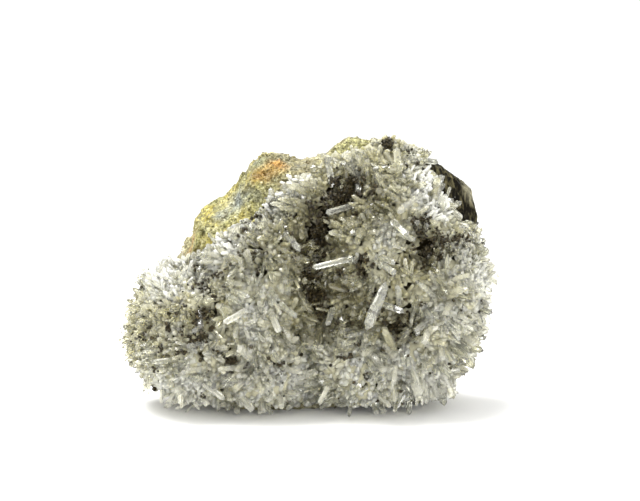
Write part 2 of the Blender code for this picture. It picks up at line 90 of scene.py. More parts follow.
# Its lobes: centre, radii, and the flat faces that cut it, each a point and a normal
LOBES = (
    (
        (19, 0, 34.5),
        (22.5, 21, 29.5),
        (((34.5, 0, 50), (0.82, -0.08, 0.57)), ((38.5, 0, 27), (0.88, -0.05, -0.47))),
    ),
    ((24, -2, 31), (18, 19, 16), ()),
    ((-26.5, -5, 20.0), (17.5, 17.5, 16.3), ()),
    ((-18, 4, 26), (17, 16, 15), ()),
    ((-14, -8, 19), (17, 15, 17), ()),
    ((-9, -6, 31), (16, 16, 17), ()),
    ((2, -2, 43.5), (13, 13, 16), ()),
    (
        (-12, 8, 38),
        (25.5, 16, 22),
        (((-32.2, 5, 46.0), (-0.95, -0.25, 0.18)), ((-27.0, 5, 49.6), (-0.45, -0.32, 0.83))),
    ),
    (
        (-8, 6, 54),
        (14, 11, 13.5),
        (
            ((-17.8, 5, 57.4), (-0.80, -0.15, 0.58)),
            ((-16, 5, 62.6), (-0.95, -0.05, 0.30)),
            ((-10, 5, 64.6), (0.0, -0.18, 0.98)),
            ((-2, 5, 61.0), (0.50, -0.22, 0.84)),
        ),
    ),
    (
        (13, 4, 51),
        (16, 12, 20),
        (
            ((14, 3, 68.6), (0.12, -0.15, 0.98)),
            ((25, 2, 62), (0.80, -0.10, 0.59)),
            ((2.0, 3, 61.5), (-0.62, -0.2, 0.76)),
        ),
    ),
    ((16, -6, 17), (18.5, 16, 15.5), ()),
    (
        (1, 9, 27),
        (36, 19, 28),
        (
            ((0, 25.5, 30), (0.10, 1.00, 0.12)),
            ((-26, 18, 28), (-0.72, 0.68, 0.12)),
            ((30, 18, 28), (0.66, 0.74, 0.10)),
        ),
    ),
    ((-1, 5, 14), (32, 19, 22), ()),
)

# Hollows of the front: (x, z, radius, depth)
PITS = (
    (9.6, 55.0, 4.4, 4.6),
    (3.4, 45.5, 4.6, 4.6),
    (0.4, 31.0, 4.6, 4.2),
    (31.0, 40.5, 4.0, 4.2),
    (24.0, 23.0, 4.2, 4.4),
    (-26.5, 21.5, 4.4, 4.0),
    (-19.5, 12.5, 3.6, 3.2),
    (-12.5, 38.0, 3.2, 2.6),
)

# The quartz ends under this edge, seen from the front, and at these depths, seen from above
TOP_EDGE_X = (-52, -42, -36, -31, -27, -22, -15, -8, 0, 5, 11, 20, 27, 33, 38, 44, 52)
TOP_EDGE_Z = (42, 40, 39, 39.5, 42, 46, 52, 57, 62.5, 66.5, 67.5, 71, 70, 65, 58, 54, 52)
WRAP_X = (-50, -38, -28, -15, 0, 15, 28, 40, 50)
WRAP_Y = (8, 4, -2, -6, -4, 0, 3, 8, 12)
EDGE_LEAN = 3.6
EDGE_START = 2.0
FOOT_LEAN = 0.7
FOOT_TOP = 9.0
WAVE_SIZE = 9
WAVE_HEIGHT = 1.6
WAVE_PLACE = 3.0

# Lumps of the surface: size and height
BROAD_LUMPS = (11.0, 1.3)
FINE_LUMPS = (5.0, 0.7)

# Three small steps round a direction, a third of a turn apart, that show how the surface leans
LEAN_TURNS = (0, 2.09, 4.19)
LEAN_STEP = 0.035

# Small shifts of the rock's outline seen from the front: (x, z), radius, (right, up)
ROCK_SHIFTS = (
    ((-22.0, 56.5), 6.0, (1.0, -0.9)),
    ((-29.0, 50.0), 5.0, (0.6, -0.7)),
    ((-33.5, 42.5), 6.0, (1.5, -0.2)),
    ((12.0, 69.5), 4.0, (0.0, 0.8)),
    ((23.5, 67.5), 4.0, (-0.6, -1.2)),
)

# Crystals seen best, read off the photograph: root, tip, how far the tip stands out, thickness, kind
LEADING_CRYSTALS = (
    ((17.5, 26.9), (25.1, 24.1), 3.0, 1.8, "clear"),
    ((23.1, 26.0), (23.4, 31.1), 2.6, 1.7, "clear"),
    ((33.3, 15.8), (34.9, 11.4), 3.0, 1.9, "cloudy"),
    ((6.4, 25.4), (5.0, 20.5), 3.4, 1.8, "clear"),
    ((23.1, 14.5), (24.9, 10.1), 3.2, 1.4, "clear"),
    ((24.9, 13.4), (26.4, 9.1), 3.2, 1.5, "clear"),
    ((11.7, 50.8), (4.7, 49.8), 3.4, 1.7, "clear"),
    ((12.4, 59.6), (13.2, 54.9), 3.0, 1.8, "clear"),
    ((5.2, 62.5), (6.4, 56.4), 3.6, 2.0, "clear"),
    ((28.1, 53.9), (23.3, 49.8), 3.4, 1.8, "cloudy"),
    ((21.2, 47.0), (26.2, 44.0), 3.6, 1.8, "clear"),
    ((21.6, 44.6), (28.1, 42.6), 3.0, 1.6, "clear"),
    ((35.7, 49.8), (40.1, 48.4), 4.0, 2.1, "cloudy"),
    ((33.5, 49.8), (34.9, 54.2), 3.6, 2.2, "cloudy"),
    ((11.1, 37.7), (1.0, 35.5), 3.6, 1.9, "clear"),
    ((18.0, 37.8), (22.9, 36.9), 3.4, 1.7, "clear"),
    ((18.0, 36.6), (22.9, 34.0), 3.2, 1.6, "clear"),
    ((-20.6, 42.8), (-24.0, 34.9), 4.0, 2.1, "cloudy"),
    ((-5.6, 43.6), (-1.9, 39.8), 3.2, 1.9, "clear"),
    ((-27.5, 24.2), (-28.0, 19.8), 3.2, 1.6, "clear"),
    ((-27.0, 20.7), (-29.9, 18.9), 3.4, 1.6, "clear"),
    ((-26.8, 16.4), (-31.8, 14.9), 3.2, 1.7, "clear"),
    ((-9.1, 23.8), (-7.5, 18.9), 3.6, 1.9, "cloudy"),
    ((-7.0, 26.4), (-2.7, 22.5), 3.2, 1.7, "clear"),
    ((-15.6, 24.7), (-21.9, 21.2), 3.2, 1.8, "cloudy"),
    ((-31.4, 35.0), (-28.7, 30.2), 3.0, 1.6, "cloudy"),
    ((-16.7, 3.1), (-14.3, -1.7), 3.0, 2.0, "cloudy"),
    ((-17.7, 2.6), (-17.1, -0.3), 2.6, 1.7, "cloudy"),
    ((-40.4, 7.1), (-39.7, 3.3), 2.6, 1.8, "cloudy"),
    ((7.4, 1.7), (12.8, 2.1), 3.4, 2.0, "clear"),
    ((1.8, 2.6), (-0.9, 0.1), 3.2, 2.0, "clear"),
    ((16.2, 1.8), (18.0, -2.6), 3.0, 1.9, "clear"),
    ((18.0, 1.8), (19.8, -2.2), 3.0, 1.8, "clear"),
    ((25.3, 1.5), (26.4, -2.3), 2.6, 1.9, "clear"),
    ((-3.9, 2.1), (-5.3, -1.4), 3.2, 1.7, "clear"),
    ((28.2, 62.6), (34.0, 63.1), 2.2, 1.7, "clear"),
    ((26.3, 63.8), (28.2, 66.4), 2.2, 1.6, "clear"),
    ((-31.7, 4.5), (-34.6, 3.8), 3.0, 2.0, "cloudy"),
    ((-26.9, 3.4), (-26.2, -0.2), 3.0, 1.9, "cloudy"),
    ((-29.4, 3.8), (-30.6, 0.9), 2.8, 1.7, "cloudy"),
    ((-9.0, 3.8), (-10.8, 0.8), 3.2, 1.9, "cloudy"),
    ((-7.5, 3.4), (-6.8, -0.9), 3.0, 1.7, "cloudy"),
    ((-34.3, 36.2), (-39.7, 34.2), 2.2, 1.7, "cloudy"),
    ((-34.6, 37.6), (-37.9, 36.4), 2.0, 1.4, "cloudy"),
    ((-18.7, 29.7), (-15.2, 28.0), 3.0, 1.4, "clear"),
    ((-12.5, 31.1), (-12.1, 34.0), 3.0, 1.1, "clear"),
    ((11.9, 37.0), (12.9, 39.4), 3.0, 1.3, "clear"),
    ((-8.6, 14.5), (-7.4, 10.9), 3.0, 1.4, "clear"),
    ((12.9, 6.0), (11.3, 2.8), 3.0, 1.6, "clear"),
    ((-44.4, 9.0), (-43.7, 6.7), 2.0, 1.6, "clear"),
)
TIP_LIFT = 2.2

# The thick crystal that crosses the valley: both ends, how far it stands out, thickness
CROSSING_CRYSTAL = ((15.1, 19.1), (20.4, 31.9), 1.0, 2.9)
CROSSING_LIFT = 3.2
CROSSING_SLANT = (-0.6, 0.6)

# Dark patches, where the dark grains gather and the bed between the crystals is painted in shade: (x, height,
# radius, share of the grains)
DARK_PATCHES = (
    (9.6, 55.2, 4.2, 1.0),
    (6.0, 51.5, 3.6, 0.8),
    (3.4, 45.7, 3.6, 1.0),
    (3.5, 38.0, 3.0, 0.6),
    (0.4, 31.2, 3.0, 0.9),
    (31.0, 40.7, 3.6, 1.0),
    (28.0, 36.5, 2.6, 0.5),
    (24.0, 23.2, 3.2, 1.0),
    (22.0, 19.5, 2.2, 0.4),
    (-27.5, 22.5, 3.0, 0.6),
    (2.0, 41.0, 3.4, 0.7),
    (6.0, 48.5, 3.4, 0.8),
    (-1.5, 34.5, 2.8, 0.7),
    (12.5, 58.5, 3.2, 0.7),
    (14.5, 35.5, 2.6, 0.6),
    (3.5, 26.5, 2.6, 0.6),
    (8.0, 33.0, 2.2, 0.5),
    (18.0, 28.5, 2.2, 0.5),
    (27.5, 45.5, 2.4, 0.5),
    (-19.5, 13.5, 2.4, 0.6),
    (-12.5, 38.5, 2.8, 0.6),
    (-24.5, 31.0, 4.0, 0.5),
    (20.5, 67.0, 1.4, 0.2),
    (25.5, 63.5, 1.8, 0.3),
    (16.5, 50.5, 5.0, 0.4),
    (-2.0, 22.0, 4.0, 0.3),
    (11.0, 20.0, 4.0, 0.4),
    (-33.0, 17.0, 6.0, 0.35),
    (-12.0, 46.5, 6.0, 0.5),
    (38.0, 41.0, 4.0, 0.4),
)

# Whiter, cloudier quartz, and painted light where the crystals are lit brightest, along the bottom and the
# edges: (x, height, radius)
WHITE_AND_LIT_PATCHES = (
    (-20.0, 12.0, 6.0),
    (-14.0, 23.0, 7.0),
    (-9.0, 31.0, 5.0),
    (-29.0, 40.0, 9.0),
    (-38.0, 35.0, 7.0),
    (-21.0, 46.0, 8.0),
    (-11.0, 52.0, 7.0),
    (-4.0, 57.0, 8.0),
    (9.0, 63.0, 5.0),
    (31.0, 52.0, 6.0),
    (20.0, 44.0, 5.0),
    (14.0, 6.0, 8.0),
    (-4.0, 6.0, 6.0),
    (28.0, 12.0, 6.0),
    (-32.0, 5.0, 8.0),
    (-12.0, 4.0, 8.0),
    (42.0, 34.0, 9.0),
    (38.0, 24.0, 8.0),
    (30.0, 6.0, 9.0),
)

# Snow-white tufts of small crystals, whose white is painted glare where the quartz is lit brightest: (x,
# height, radius)
GLARE_FROST_PATCHES = (
    (-5.0, 57.0, 4.0),
    (-10.0, 53.0, 3.0),
    (-22.0, 43.0, 4.0),
    (-36.0, 34.0, 5.0),
    (29.0, 58.0, 4.0),
    (33.0, 50.0, 3.0),
)

# Painted shade: darker crystals and bed in and round the hollows: (x, height, radius, strength)
SHADED_HOLLOW_PATCHES = (
    (4.0, 50.0, 9.0, 1.3),
    (9.0, 58.0, 7.0, 1.0),
    (2.0, 38.0, 9.0, 1.3),
    (1.0, 28.0, 8.0, 1.2),
    (17.0, 52.0, 7.0, 0.6),
    (30.0, 39.0, 7.0, 0.9),
    (24.0, 21.0, 6.0, 1.0),
    (11.0, 26.0, 7.0, 0.8),
    (-25.0, 21.0, 6.0, 0.6),
    (-20.0, 14.0, 4.0, 0.6),
    (-12.0, 39.0, 4.0, 0.5),
)

# Finer crystals in the photograph: (x, height, radius)
FINE_PATCHES = (
    (-31.0, 19.0, 11.0),
    (-46.0, 24.0, 12.0),
    (-16.0, 44.0, 7.0),
    (-24.0, 28.0, 6.0),
    (41.0, 38.0, 10.0),
)

# Each kind of crystal: its shortest and longest, then its thinnest and thickest as radii
RIM_SIZE = (0.6, 1.6), (0.5, 1.0)
SUGAR_SIZE = (0.9, 2.4), (0.45, 0.95)
FROST_SIZE = (2.0, 3.8), (0.35, 0.65)
NEEDLE_SIZE = (3.2, 6.2), (0.40, 0.80)
PRISM_SIZE = (4.8, 8.8), (0.8, 1.25)
HIGHEST_TIP = 68

# The corners of one crystal
SIDES = 6
CORNERS_EACH = 2 * SIDES + 1

# The glass of each kind: the share of light that passes, and the roughness of its faces
NEEDLE_GLASS = {"cloudy": (0.82, 0.24), "clear": (0.92, 0.12)}
PRISM_GLASS = {"cloudy": (0.82, 0.20), "clear": (0.94, 0.07)}
LEADING_GLASS = {"cloudy": (0.8, 0.2), "clear": (0.90, 0.09)}
CLEAR_DENSITY = 30
QUARTZ_IOR = 1.544
ABSORBED_TONE = (0.90, 0.89, 0.78, 1.0)

# The tones of each kind: white, beige, and the painted shade of the hollows
CLEAR_TONES = ((0.98, 0.98, 0.89), (0.97, 0.95, 0.76), (0.55, 0.51, 0.30))
HAZY_TONES = ((0.99, 0.98, 0.88), (0.88, 0.85, 0.63), (0.32, 0.29, 0.16))
# Painted glare: the near-white of the tufts.
GLARE_FROST_TONES = ((0.95, 0.94, 0.84), (0.93, 0.92, 0.80), (0.70, 0.69, 0.55))

# How far the bed lies under the druse's surface, its roughness, and how much deeper its dark gaps are
BED_SUNK = 0.7
BED_ROUGH = 0.35
GAP_DEPTH = 1.2

# Steps in which the bed runs on into the lump behind its edge, and the crystals of the rim there
SKIRT_STEPS = (2.5, 4.0, 8.0)
RIM_CRYSTALS = 1500
RIM_DEPTH = 9.0

# How the rock's facets are bent: size of the waves, their reach, and where each axis reads the noise
WARP_SIZE = 1.5
WARP_REACH = 0.5
WARP_OFFSETS = (7.3, 12.9, 21.6)

# Tones that mottle the rock, with painted light among them: brighter gold on the lit side, glints and dark
# reflections on the facets, shade in the hollows
LEMON_GOLD = (0.45, 0.38, 0.08)
OLIVE_GOLD = (0.33, 0.32, 0.14)
CREST_DARK = (0.16, 0.16, 0.06)
CREST_LIGHT = (0.48, 0.46, 0.19)
# Painted reflections of the facets: dark ones and bright glints.
DARK_REFLECTION_FACET = (0.10, 0.085, 0.03)
GLINT_FACET = (0.80, 0.74, 0.46)
RUST_BROWN = (0.13, 0.05, 0.01)
CAP_GREEN = (0.20, 0.21, 0.12)
BRIGHT_SPECK = (0.88, 0.85, 0.64)
DARK_SPECK = (0.03, 0.026, 0.012)
# Painted shade in the hollows of the relief.
RELIEF_HOLLOW_SHADE = (0.04, 0.032, 0.016)

# Places of one colour on the rock and the knob: middle, radius, softness of the edge
# Painted light: the lit upper-left side, brighter gold over the rock's own.
LIT_GOLDEN_SIDE = ((-22.0, -2.0, 52.0), 16.0, 5.0)
CREST = ((10.0, -1.0, 68.0), 8.0, 4.0)
RUSTY_SPOTS = (
    ((-8.0, -1, 62.5), 2.6, 1.6),
    ((-11.5, -1, 59.8), 2.6, 1.6),
    ((-32.0, 2, 42.0), 3.0, 2.0),
)
BROWN_SPOT = ((-12.5, -1, 58.6), 2.4, 1.2)
GREEN_CAP = ((-13.5, 0, 64.0), 3.0, 1.5)
BLUE_SPOTS = (
    ((-18.0, 0, 53.5), 3.4, 2.0),
    ((-23.0, -2, 50.5), 2.4, 1.6),
    ((-12.0, -1, 55.5), 2.4, 1.6),
)
KNOB_RIM = ((44.5, 4, 56.0), 4.0, 2.0)

# The dark knob
KNOB_VOXEL = 0.0003
KNOB_STREAK = 2.2
KNOB_DARK = (0.005, 0.004, 0.002)
KNOB_LIGHT = (0.13, 0.115, 0.06)
KNOB_RIM_TONE = (0.42, 0.39, 0.26)

# The dark grains: groups of small cubes between the crystals, and single ones
GROUP_SIZE = 9
LOWEST_GRAIN = 4
HIGHEST_GRAIN = 67.5
CLUSTER_CUBES = 160
GRAIN_DARK = (0.008, 0.006, 0.002)
GRAIN_LIGHT = (0.09, 0.07, 0.03)

# The studio, in metres: half the floor, and each lamp's place and size
FLOOR_HALF = 3.0
FLOOR_TONE = (0.95, 0.95, 0.94)
TOP_LAMP = ((-0.14, 0.04, 0.50), 0.35)
FRONT_LAMP = ((0.20, -0.72, 0.05), 0.5)
LAMPS_LOOK = (0, 0, 0.03)
SENSOR_WIDTH_MM = 36.0

# Places of the colours among a mix node's inputs and outputs
MIX_A = 6
MIX_B = 7
MIX_RESULT = 2


def unit(vectors):
    """The vectors, one or a stack, at length 1."""
    vectors = np.asarray(vectors, float)
    return vectors / np.linalg.norm(vectors, axis=-1, keepdims=True)


def in_photo(points):
    """The x and height at which the photograph shows each point."""
    x, y, z = (points - LOOK).T
    depth = CAMERA_DISTANCE + y * math.cos(TILT) - z * math.sin(TILT)
    height = y * math.sin(TILT) + z * math.cos(TILT)
    return LOOK[0] + x * CAMERA_DISTANCE / depth, LOOK[2] + height * CAMERA_DISTANCE / depth


def from_photo(spots, y):
    """The points at these depths that the photograph shows at these spots."""
    u, v = spots[:, 0] - LOOK[0], spots[:, 1] - LOOK[2]
    near = CAMERA_DISTANCE + y * math.cos(TILT)
    rise = v * near - CAMERA_DISTANCE * y * math.sin(TILT)
    z = rise / (CAMERA_DISTANCE * math.cos(TILT) + v * math.sin(TILT))
    depth = near - z * math.sin(TILT)
    return np.stack([LOOK[0] + u * depth / CAMERA_DISTANCE, y, LOOK[2] + z], axis=1)


def lobe_reach(directions, centre, radii, faces):
    """How far each direction runs from the heart before it leaves the lobe, and 0 where it misses."""
    radii = np.array(radii, float)
    offset = (HEART - np.array(centre, float)) / radii
    way = directions / radii
    a = (way * way).sum(1)
    b = way @ offset
    clear = b * b / a - (offset @ offset - 1)
    reach = np.where(clear > 0, (-b + np.sqrt(np.maximum(clear, 0) * a)) / a, 0)
    share = np.clip(clear / FADE_SHARE, 0, 1)
    reach = np.maximum(reach, 0) * share * share * (3 - 2 * share)
    for point, normal in faces:
        normal = unit(normal)
        facing = directions @ normal
        height = (np.array(point, float) - HEART) @ normal
        met = facing > 1e-3
        reach = np.where(met, np.minimum(reach, height / np.where(met, facing, 1.0)), reach)
    return reach


def noise_at(points, size, offset=(0.0, 0.0, 0.0)):
    """Smooth noise from -1 to 1 at each point, with features of this size."""
    return np.array([noise.noise(Vector(p) / size + Vector(offset)) for p in points])


def rough_at(points, size, octaves, smoothness=0.7, finer=2.1, offset=(0.0, 0.0, 0.0)):
    """Fractal roughness at each point, with features of this size and finer ones on them."""
    places = (Vector(p) / size + Vector(offset) for p in points)
    return np.array([noise.fractal(place, smoothness, finer, octaves) for place in places])


def lumpiness(points):
    """Small lumps of the surface, in millimetres."""
    (broad, broad_height), (fine, fine_height) = BROAD_LUMPS, FINE_LUMPS
    return broad_height * noise_at(points, broad) + fine_height * noise_at(points, fine, (9, 4, 2))


def envelope(directions):
    """Distance from the heart to the lump's outside, lumps and pits included."""
    reach = sum(lobe_reach(directions, *lobe) ** BLEND_POWER for lobe in LOBES) ** (1 / BLEND_POWER)
    points = HEART + directions * reach[:, None]
    reach = reach + lumpiness(points)
    front = np.clip(-directions[:, 1] * 4, 0, 1)
    for x, z, radius, depth in PITS:
        far = ((points[:, 0] - x) ** 2 + (points[:, 2] - z) ** 2) / radius**2
        reach = reach - front * depth * np.exp(-far)
    return reach


def outside(directions, proud=0.0):
    """Points on the lump's outside, or this far out of it, and their outward normals."""
    points = HEART + directions * (envelope(directions) + proud)[:, None]
    side = unit(np.cross(directions, (0.31, 0.22, 0.93)))
    other = np.cross(directions, side)
    corners = []
    for turn in LEAN_TURNS:
        around = unit(directions + LEAN_STEP * (side * math.cos(turn) + other * math.sin(turn)))
        corners.append(HEART + around * envelope(around)[:, None])
    normals = unit(np.cross(corners[1] - corners[0], corners[2] - corners[0]))
    flip = (normals * directions).sum(1) < 0
    normals[flip] *= -1
    return points, normals


def front_directions(spots):
    """The directions of the front face where the photograph shows these spots, found by halving."""
    spots = np.asarray(spots, float)
    near = np.full(len(spots), -60.0)
    far = np.full(len(spots), HEART[1] - 1.0)
    for _ in range(30):
        middle = (near + far) / 2
        way = from_photo(spots, middle) - HEART
        inside = np.linalg.norm(way, axis=1) < envelope(unit(way))
        near, far = np.where(inside, near, middle), np.where(inside, middle, far)
    return unit(from_photo(spots, near) - HEART)


def growth_y(points):
    """The growth surface between pyrite and quartz: quartz lies at smaller y than this."""
    x, z = points[:, 0], points[:, 2]
    wrap = np.interp(x, WRAP_X, WRAP_Y)
    over = z - np.interp(x, TOP_EDGE_X, TOP_EDGE_Z)
    places = (Vector((a / WAVE_SIZE, WAVE_PLACE, b / WAVE_SIZE)) for a, b in zip(x, z))
    wave = np.array([WAVE_HEIGHT * noise.noise(place) for place in places])
    lean = EDGE_LEAN * np.maximum(0, over + EDGE_START) + FOOT_LEAN * np.maximum(0, FOOT_TOP - z)
    return wrap - lean + wave


def spread_over_druse(count, rng, margin=0.0, batch=6000, largest_area=9000):
    """Directions spread evenly over the druse's area."""
    kept = []
    total = 0
    while total < count:
        directions = unit(rng.normal(size=(batch, 3)))
        points, normals = outside(directions, DRUSE_PROUD)
        room = growth_y(points) - points[:, 1]
        facing = np.maximum(0.25, (normals * directions).sum(1))
        area = ((points - HEART) ** 2).sum(1) / facing / largest_area
        good = (room > margin) & (points[:, 2] > DRUSE_FLOOR) & (rng.random(batch) < area)
        kept.append(directions[good])
        total += int(good.sum())
    return np.concatenate(kept)[:count]


def put_mesh(name, vertices, faces, finish, smooth=False):
    """An object from millimetre vertices in the lump's own frame, riding on the specimen."""
    mesh = bpy.data.meshes.new(name)
    mesh.from_pydata(((np.asarray(vertices) + SHIFT) * MM).tolist(), [], faces)
    mesh.polygons.foreach_set("use_smooth", [smooth] * len(mesh.polygons))
    mesh.materials.append(finish)
    made = bpy.data.objects.new(name, mesh)
    bpy.context.scene.collection.objects.link(made)
    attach(made, "root")
    return made


def put_value(made, name, values):
    """One value per vertex, for the material to read."""
    made.data.attributes.new(name, "FLOAT", "POINT").data.foreach_set("value", np.asarray(values, float))


def patches(points, table, widen=1.0):
    """How deep each point lies in the round patches of a table, as in the photograph, from 0 to 1."""
    share = np.zeros(len(points))
    across, height = in_photo(points)
    for x, z, radius, *strength in table:
        far = ((across - x) ** 2 + (height - z) ** 2) / (radius * widen) ** 2
        share = np.maximum(share, (strength[0] if strength else 1.0) * np.exp(-far))
    return share


def gap_shade(points):
    """Where the bed lies bare between the crystals, painted in shade: 1 in the middle of a gap, 0 off it."""
    rough = rough_at(points, 2.2, 3, 0.8, 2.2, (5, 1, 7))
    return np.clip((0.85 * patches(points, DARK_PATCHES, 1.2) + rough - 0.38) / 0.2, 0, 1)


def hue(points, rng):
    """0 for white quartz, 1 for beige and 2 for the painted shade of the hollows, for a crystal rooted at
    each point; the white also stands for painted light where the crystals are lit brightest.
    """
    cloud = 0.5 * noise_at(points, 6.0, (3.0, 3.0, 3.0)) + 0.1 * rng.normal(size=len(points))
    beige = np.clip(0.72 - 0.9 * patches(points, WHITE_AND_LIT_PATCHES, 1.15) + cloud, 0, 1)
    return beige + np.clip(patches(points, SHADED_HOLLOW_PATCHES) + 0.5 * cloud, 0, 1)


def off_leading(tips, room):
    """Whether each tip leaves the leading crystals in sight."""
    good = np.ones(len(tips), bool)
    flat = np.stack(in_photo(tips), axis=1)
    for low, high, *_ in (*LEADING_CRYSTALS, CROSSING_CRYSTAL):
        low, way = np.array(low), np.array(high) - np.array(low)
        along = np.clip(((flat - low) @ way) / (way @ way), 0.15, 1)
        near = np.linalg.norm(flat - low - along[:, None] * way, axis=1) < room
        good &= ~(near & (tips[:, 1] < 0))
    return good


def crystals(roots, axes, lengths, radii, rng, buried=1.0, slim=0.72):
    """Vertices and faces of six-sided prisms with uneven pointed ends."""
    count = len(roots)
    axes = unit(axes)
    side = unit(np.cross(axes, unit(rng.normal(size=(count, 3)))))
    other = np.cross(axes, side)
    turns = np.arange(SIDES) * 2 * math.pi / SIDES + rng.uniform(-0.09, 0.09, (count, SIDES))
    flat = rng.uniform(slim, 1.0, (count, 1))
    ring_x = np.cos(turns)
    ring_y = np.sin(turns) * flat
    taper = rng.uniform(0.78, 0.98, (count, 1))
    height = radii[:, None] * (1.0 + 0.45 * rng.uniform(-1, 1, (count, SIDES)))
    levels = np.stack([np.full((count, SIDES), -buried), lengths[:, None] - height], axis=1)
    ring = np.ones((count, SIDES))
    widths = np.stack([radii[:, None] * ring, radii[:, None] * taper * ring], axis=1)
    body = (
        roots[:, None, None, :]
        + (widths * ring_x[:, None, :])[..., None] * side[:, None, None, :]
        + (widths * ring_y[:, None, :])[..., None] * other[:, None, None, :]
        + levels[..., None] * axes[:, None, None, :]
    ).reshape(count, 2 * SIDES, 3)
    lean = rng.uniform(-0.3, 0.3, (count, 2)) * radii[:, None]
    tips = roots + axes * lengths[:, None] + side * lean[:, :1] + other * lean[:, 1:]
    vertices = np.concatenate([body, tips[:, None, :]], axis=1).reshape(-1, 3)
    steps = [(k, (k + 1) % SIDES) for k in range(SIDES)]
    one = [(k, after, SIDES + after, SIDES + k) for k, after in steps]
    one += [(SIDES + k, SIDES + after, 2 * SIDES) for k, after in steps]
    one.append(tuple(reversed(range(SIDES))))
    faces = [tuple(CORNERS_EACH * i + k for k in face) for i in range(count) for face in one]
    return vertices, faces


class RockSettings(bpy.types.PropertyGroup):
    voxel: FloatProperty(
        name="Surface Detail", description="Edge length of the rock's fine mesh", default=0.00062,
        unit="LENGTH", subtype="DISTANCE", precision=5,
    )
    gold: FloatVectorProperty(
        name="Gold", description="Colour of clean pyrite", default=(0.36, 0.31, 0.14), subtype="COLOR",
    )
    tarnish: FloatVectorProperty(
        name="Tarnish", description="Colour of the orange tarnish", default=(0.42, 0.20, 0.025),
        subtype="COLOR",
    )
    grey: FloatVectorProperty(
        name="Grey", description="Colour of the dull grey rock between", default=(0.27, 0.26, 0.18),
        subtype="COLOR",
    )
    blue: FloatVectorProperty(
        name="Blue Tarnish", description="Colour of the blue-grey tarnish", default=(0.25, 0.28, 0.26),
        subtype="COLOR",
    )


class DruseSettings(bpy.types.PropertyGroup):
    sugar: IntProperty(name="Sugar", description="Number of tiny crystals that cover the bed", default=5400)
    frost: IntProperty(name="Frost", description="Number of places tried for the white tufts", default=6000)
    needles: IntProperty(name="Needles", description="Number of fine needles", default=2200)
    prisms: IntProperty(name="Prisms", description="Number of larger crystals", default=800)
    grains: IntProperty(name="Grains", description="Number of dark pyrite grains", default=2400)
    white: FloatVectorProperty(
        name="White", description="Colour of the cloudy white crystals", default=(0.94, 0.93, 0.78),
        subtype="COLOR",
    )
    beige: FloatVectorProperty(
        name="Beige", description="Colour of the beige crystals", default=(0.60, 0.56, 0.35), subtype="COLOR",
    )
    # Painted shade: the dark colour of the crystals in the hollows.
    shade_tone: FloatVectorProperty(
        name="Shade Tone", description="Colour of the dull crystals in the hollows", default=(0.08, 0.068, 0.024),
        subtype="COLOR",
    )
    bed_light: FloatVectorProperty(
        name="Bed Light", description="Colour of the milky quartz bed", default=(0.48, 0.46, 0.33),
        subtype="COLOR",
    )
    # Painted shade: the near-black of the bed in the gaps between crystals and in the hollows.
    bed_shade: FloatVectorProperty(
        name="Bed Shade", description="Colour of the bed in its hollows", default=(0.008, 0.006, 0.002),
        subtype="COLOR",
    )


class StageSettings(bpy.types.PropertyGroup):
    lens: FloatProperty(
        name="Lens", description="Focal length", default=108.0, subtype="DISTANCE_CAMERA",
    )
    distance: FloatProperty(
        name="Distance", description="From the camera to the specimen", default=CAMERA_DISTANCE * MM,
        unit="LENGTH", subtype="DISTANCE",
    )
    elevation: FloatProperty(
        name="Elevation", description="Angle the camera looks down at", default=TILT, subtype="ANGLE",
    )
    world: FloatProperty(name="World Light", description="Strength of the white surroundings", default=1.1)
    key: FloatProperty(name="Top Light", description="Power of the soft lamp above", default=4.0)
    fill: FloatProperty(name="Front Light", description="Power of the soft lamp in front", default=5.4)


def opaque(colour):
    """A plain colour with full alpha, or the socket that gives it."""
    return colour if isinstance(colour, bpy.types.NodeSocket) else (*colour, 1.0)


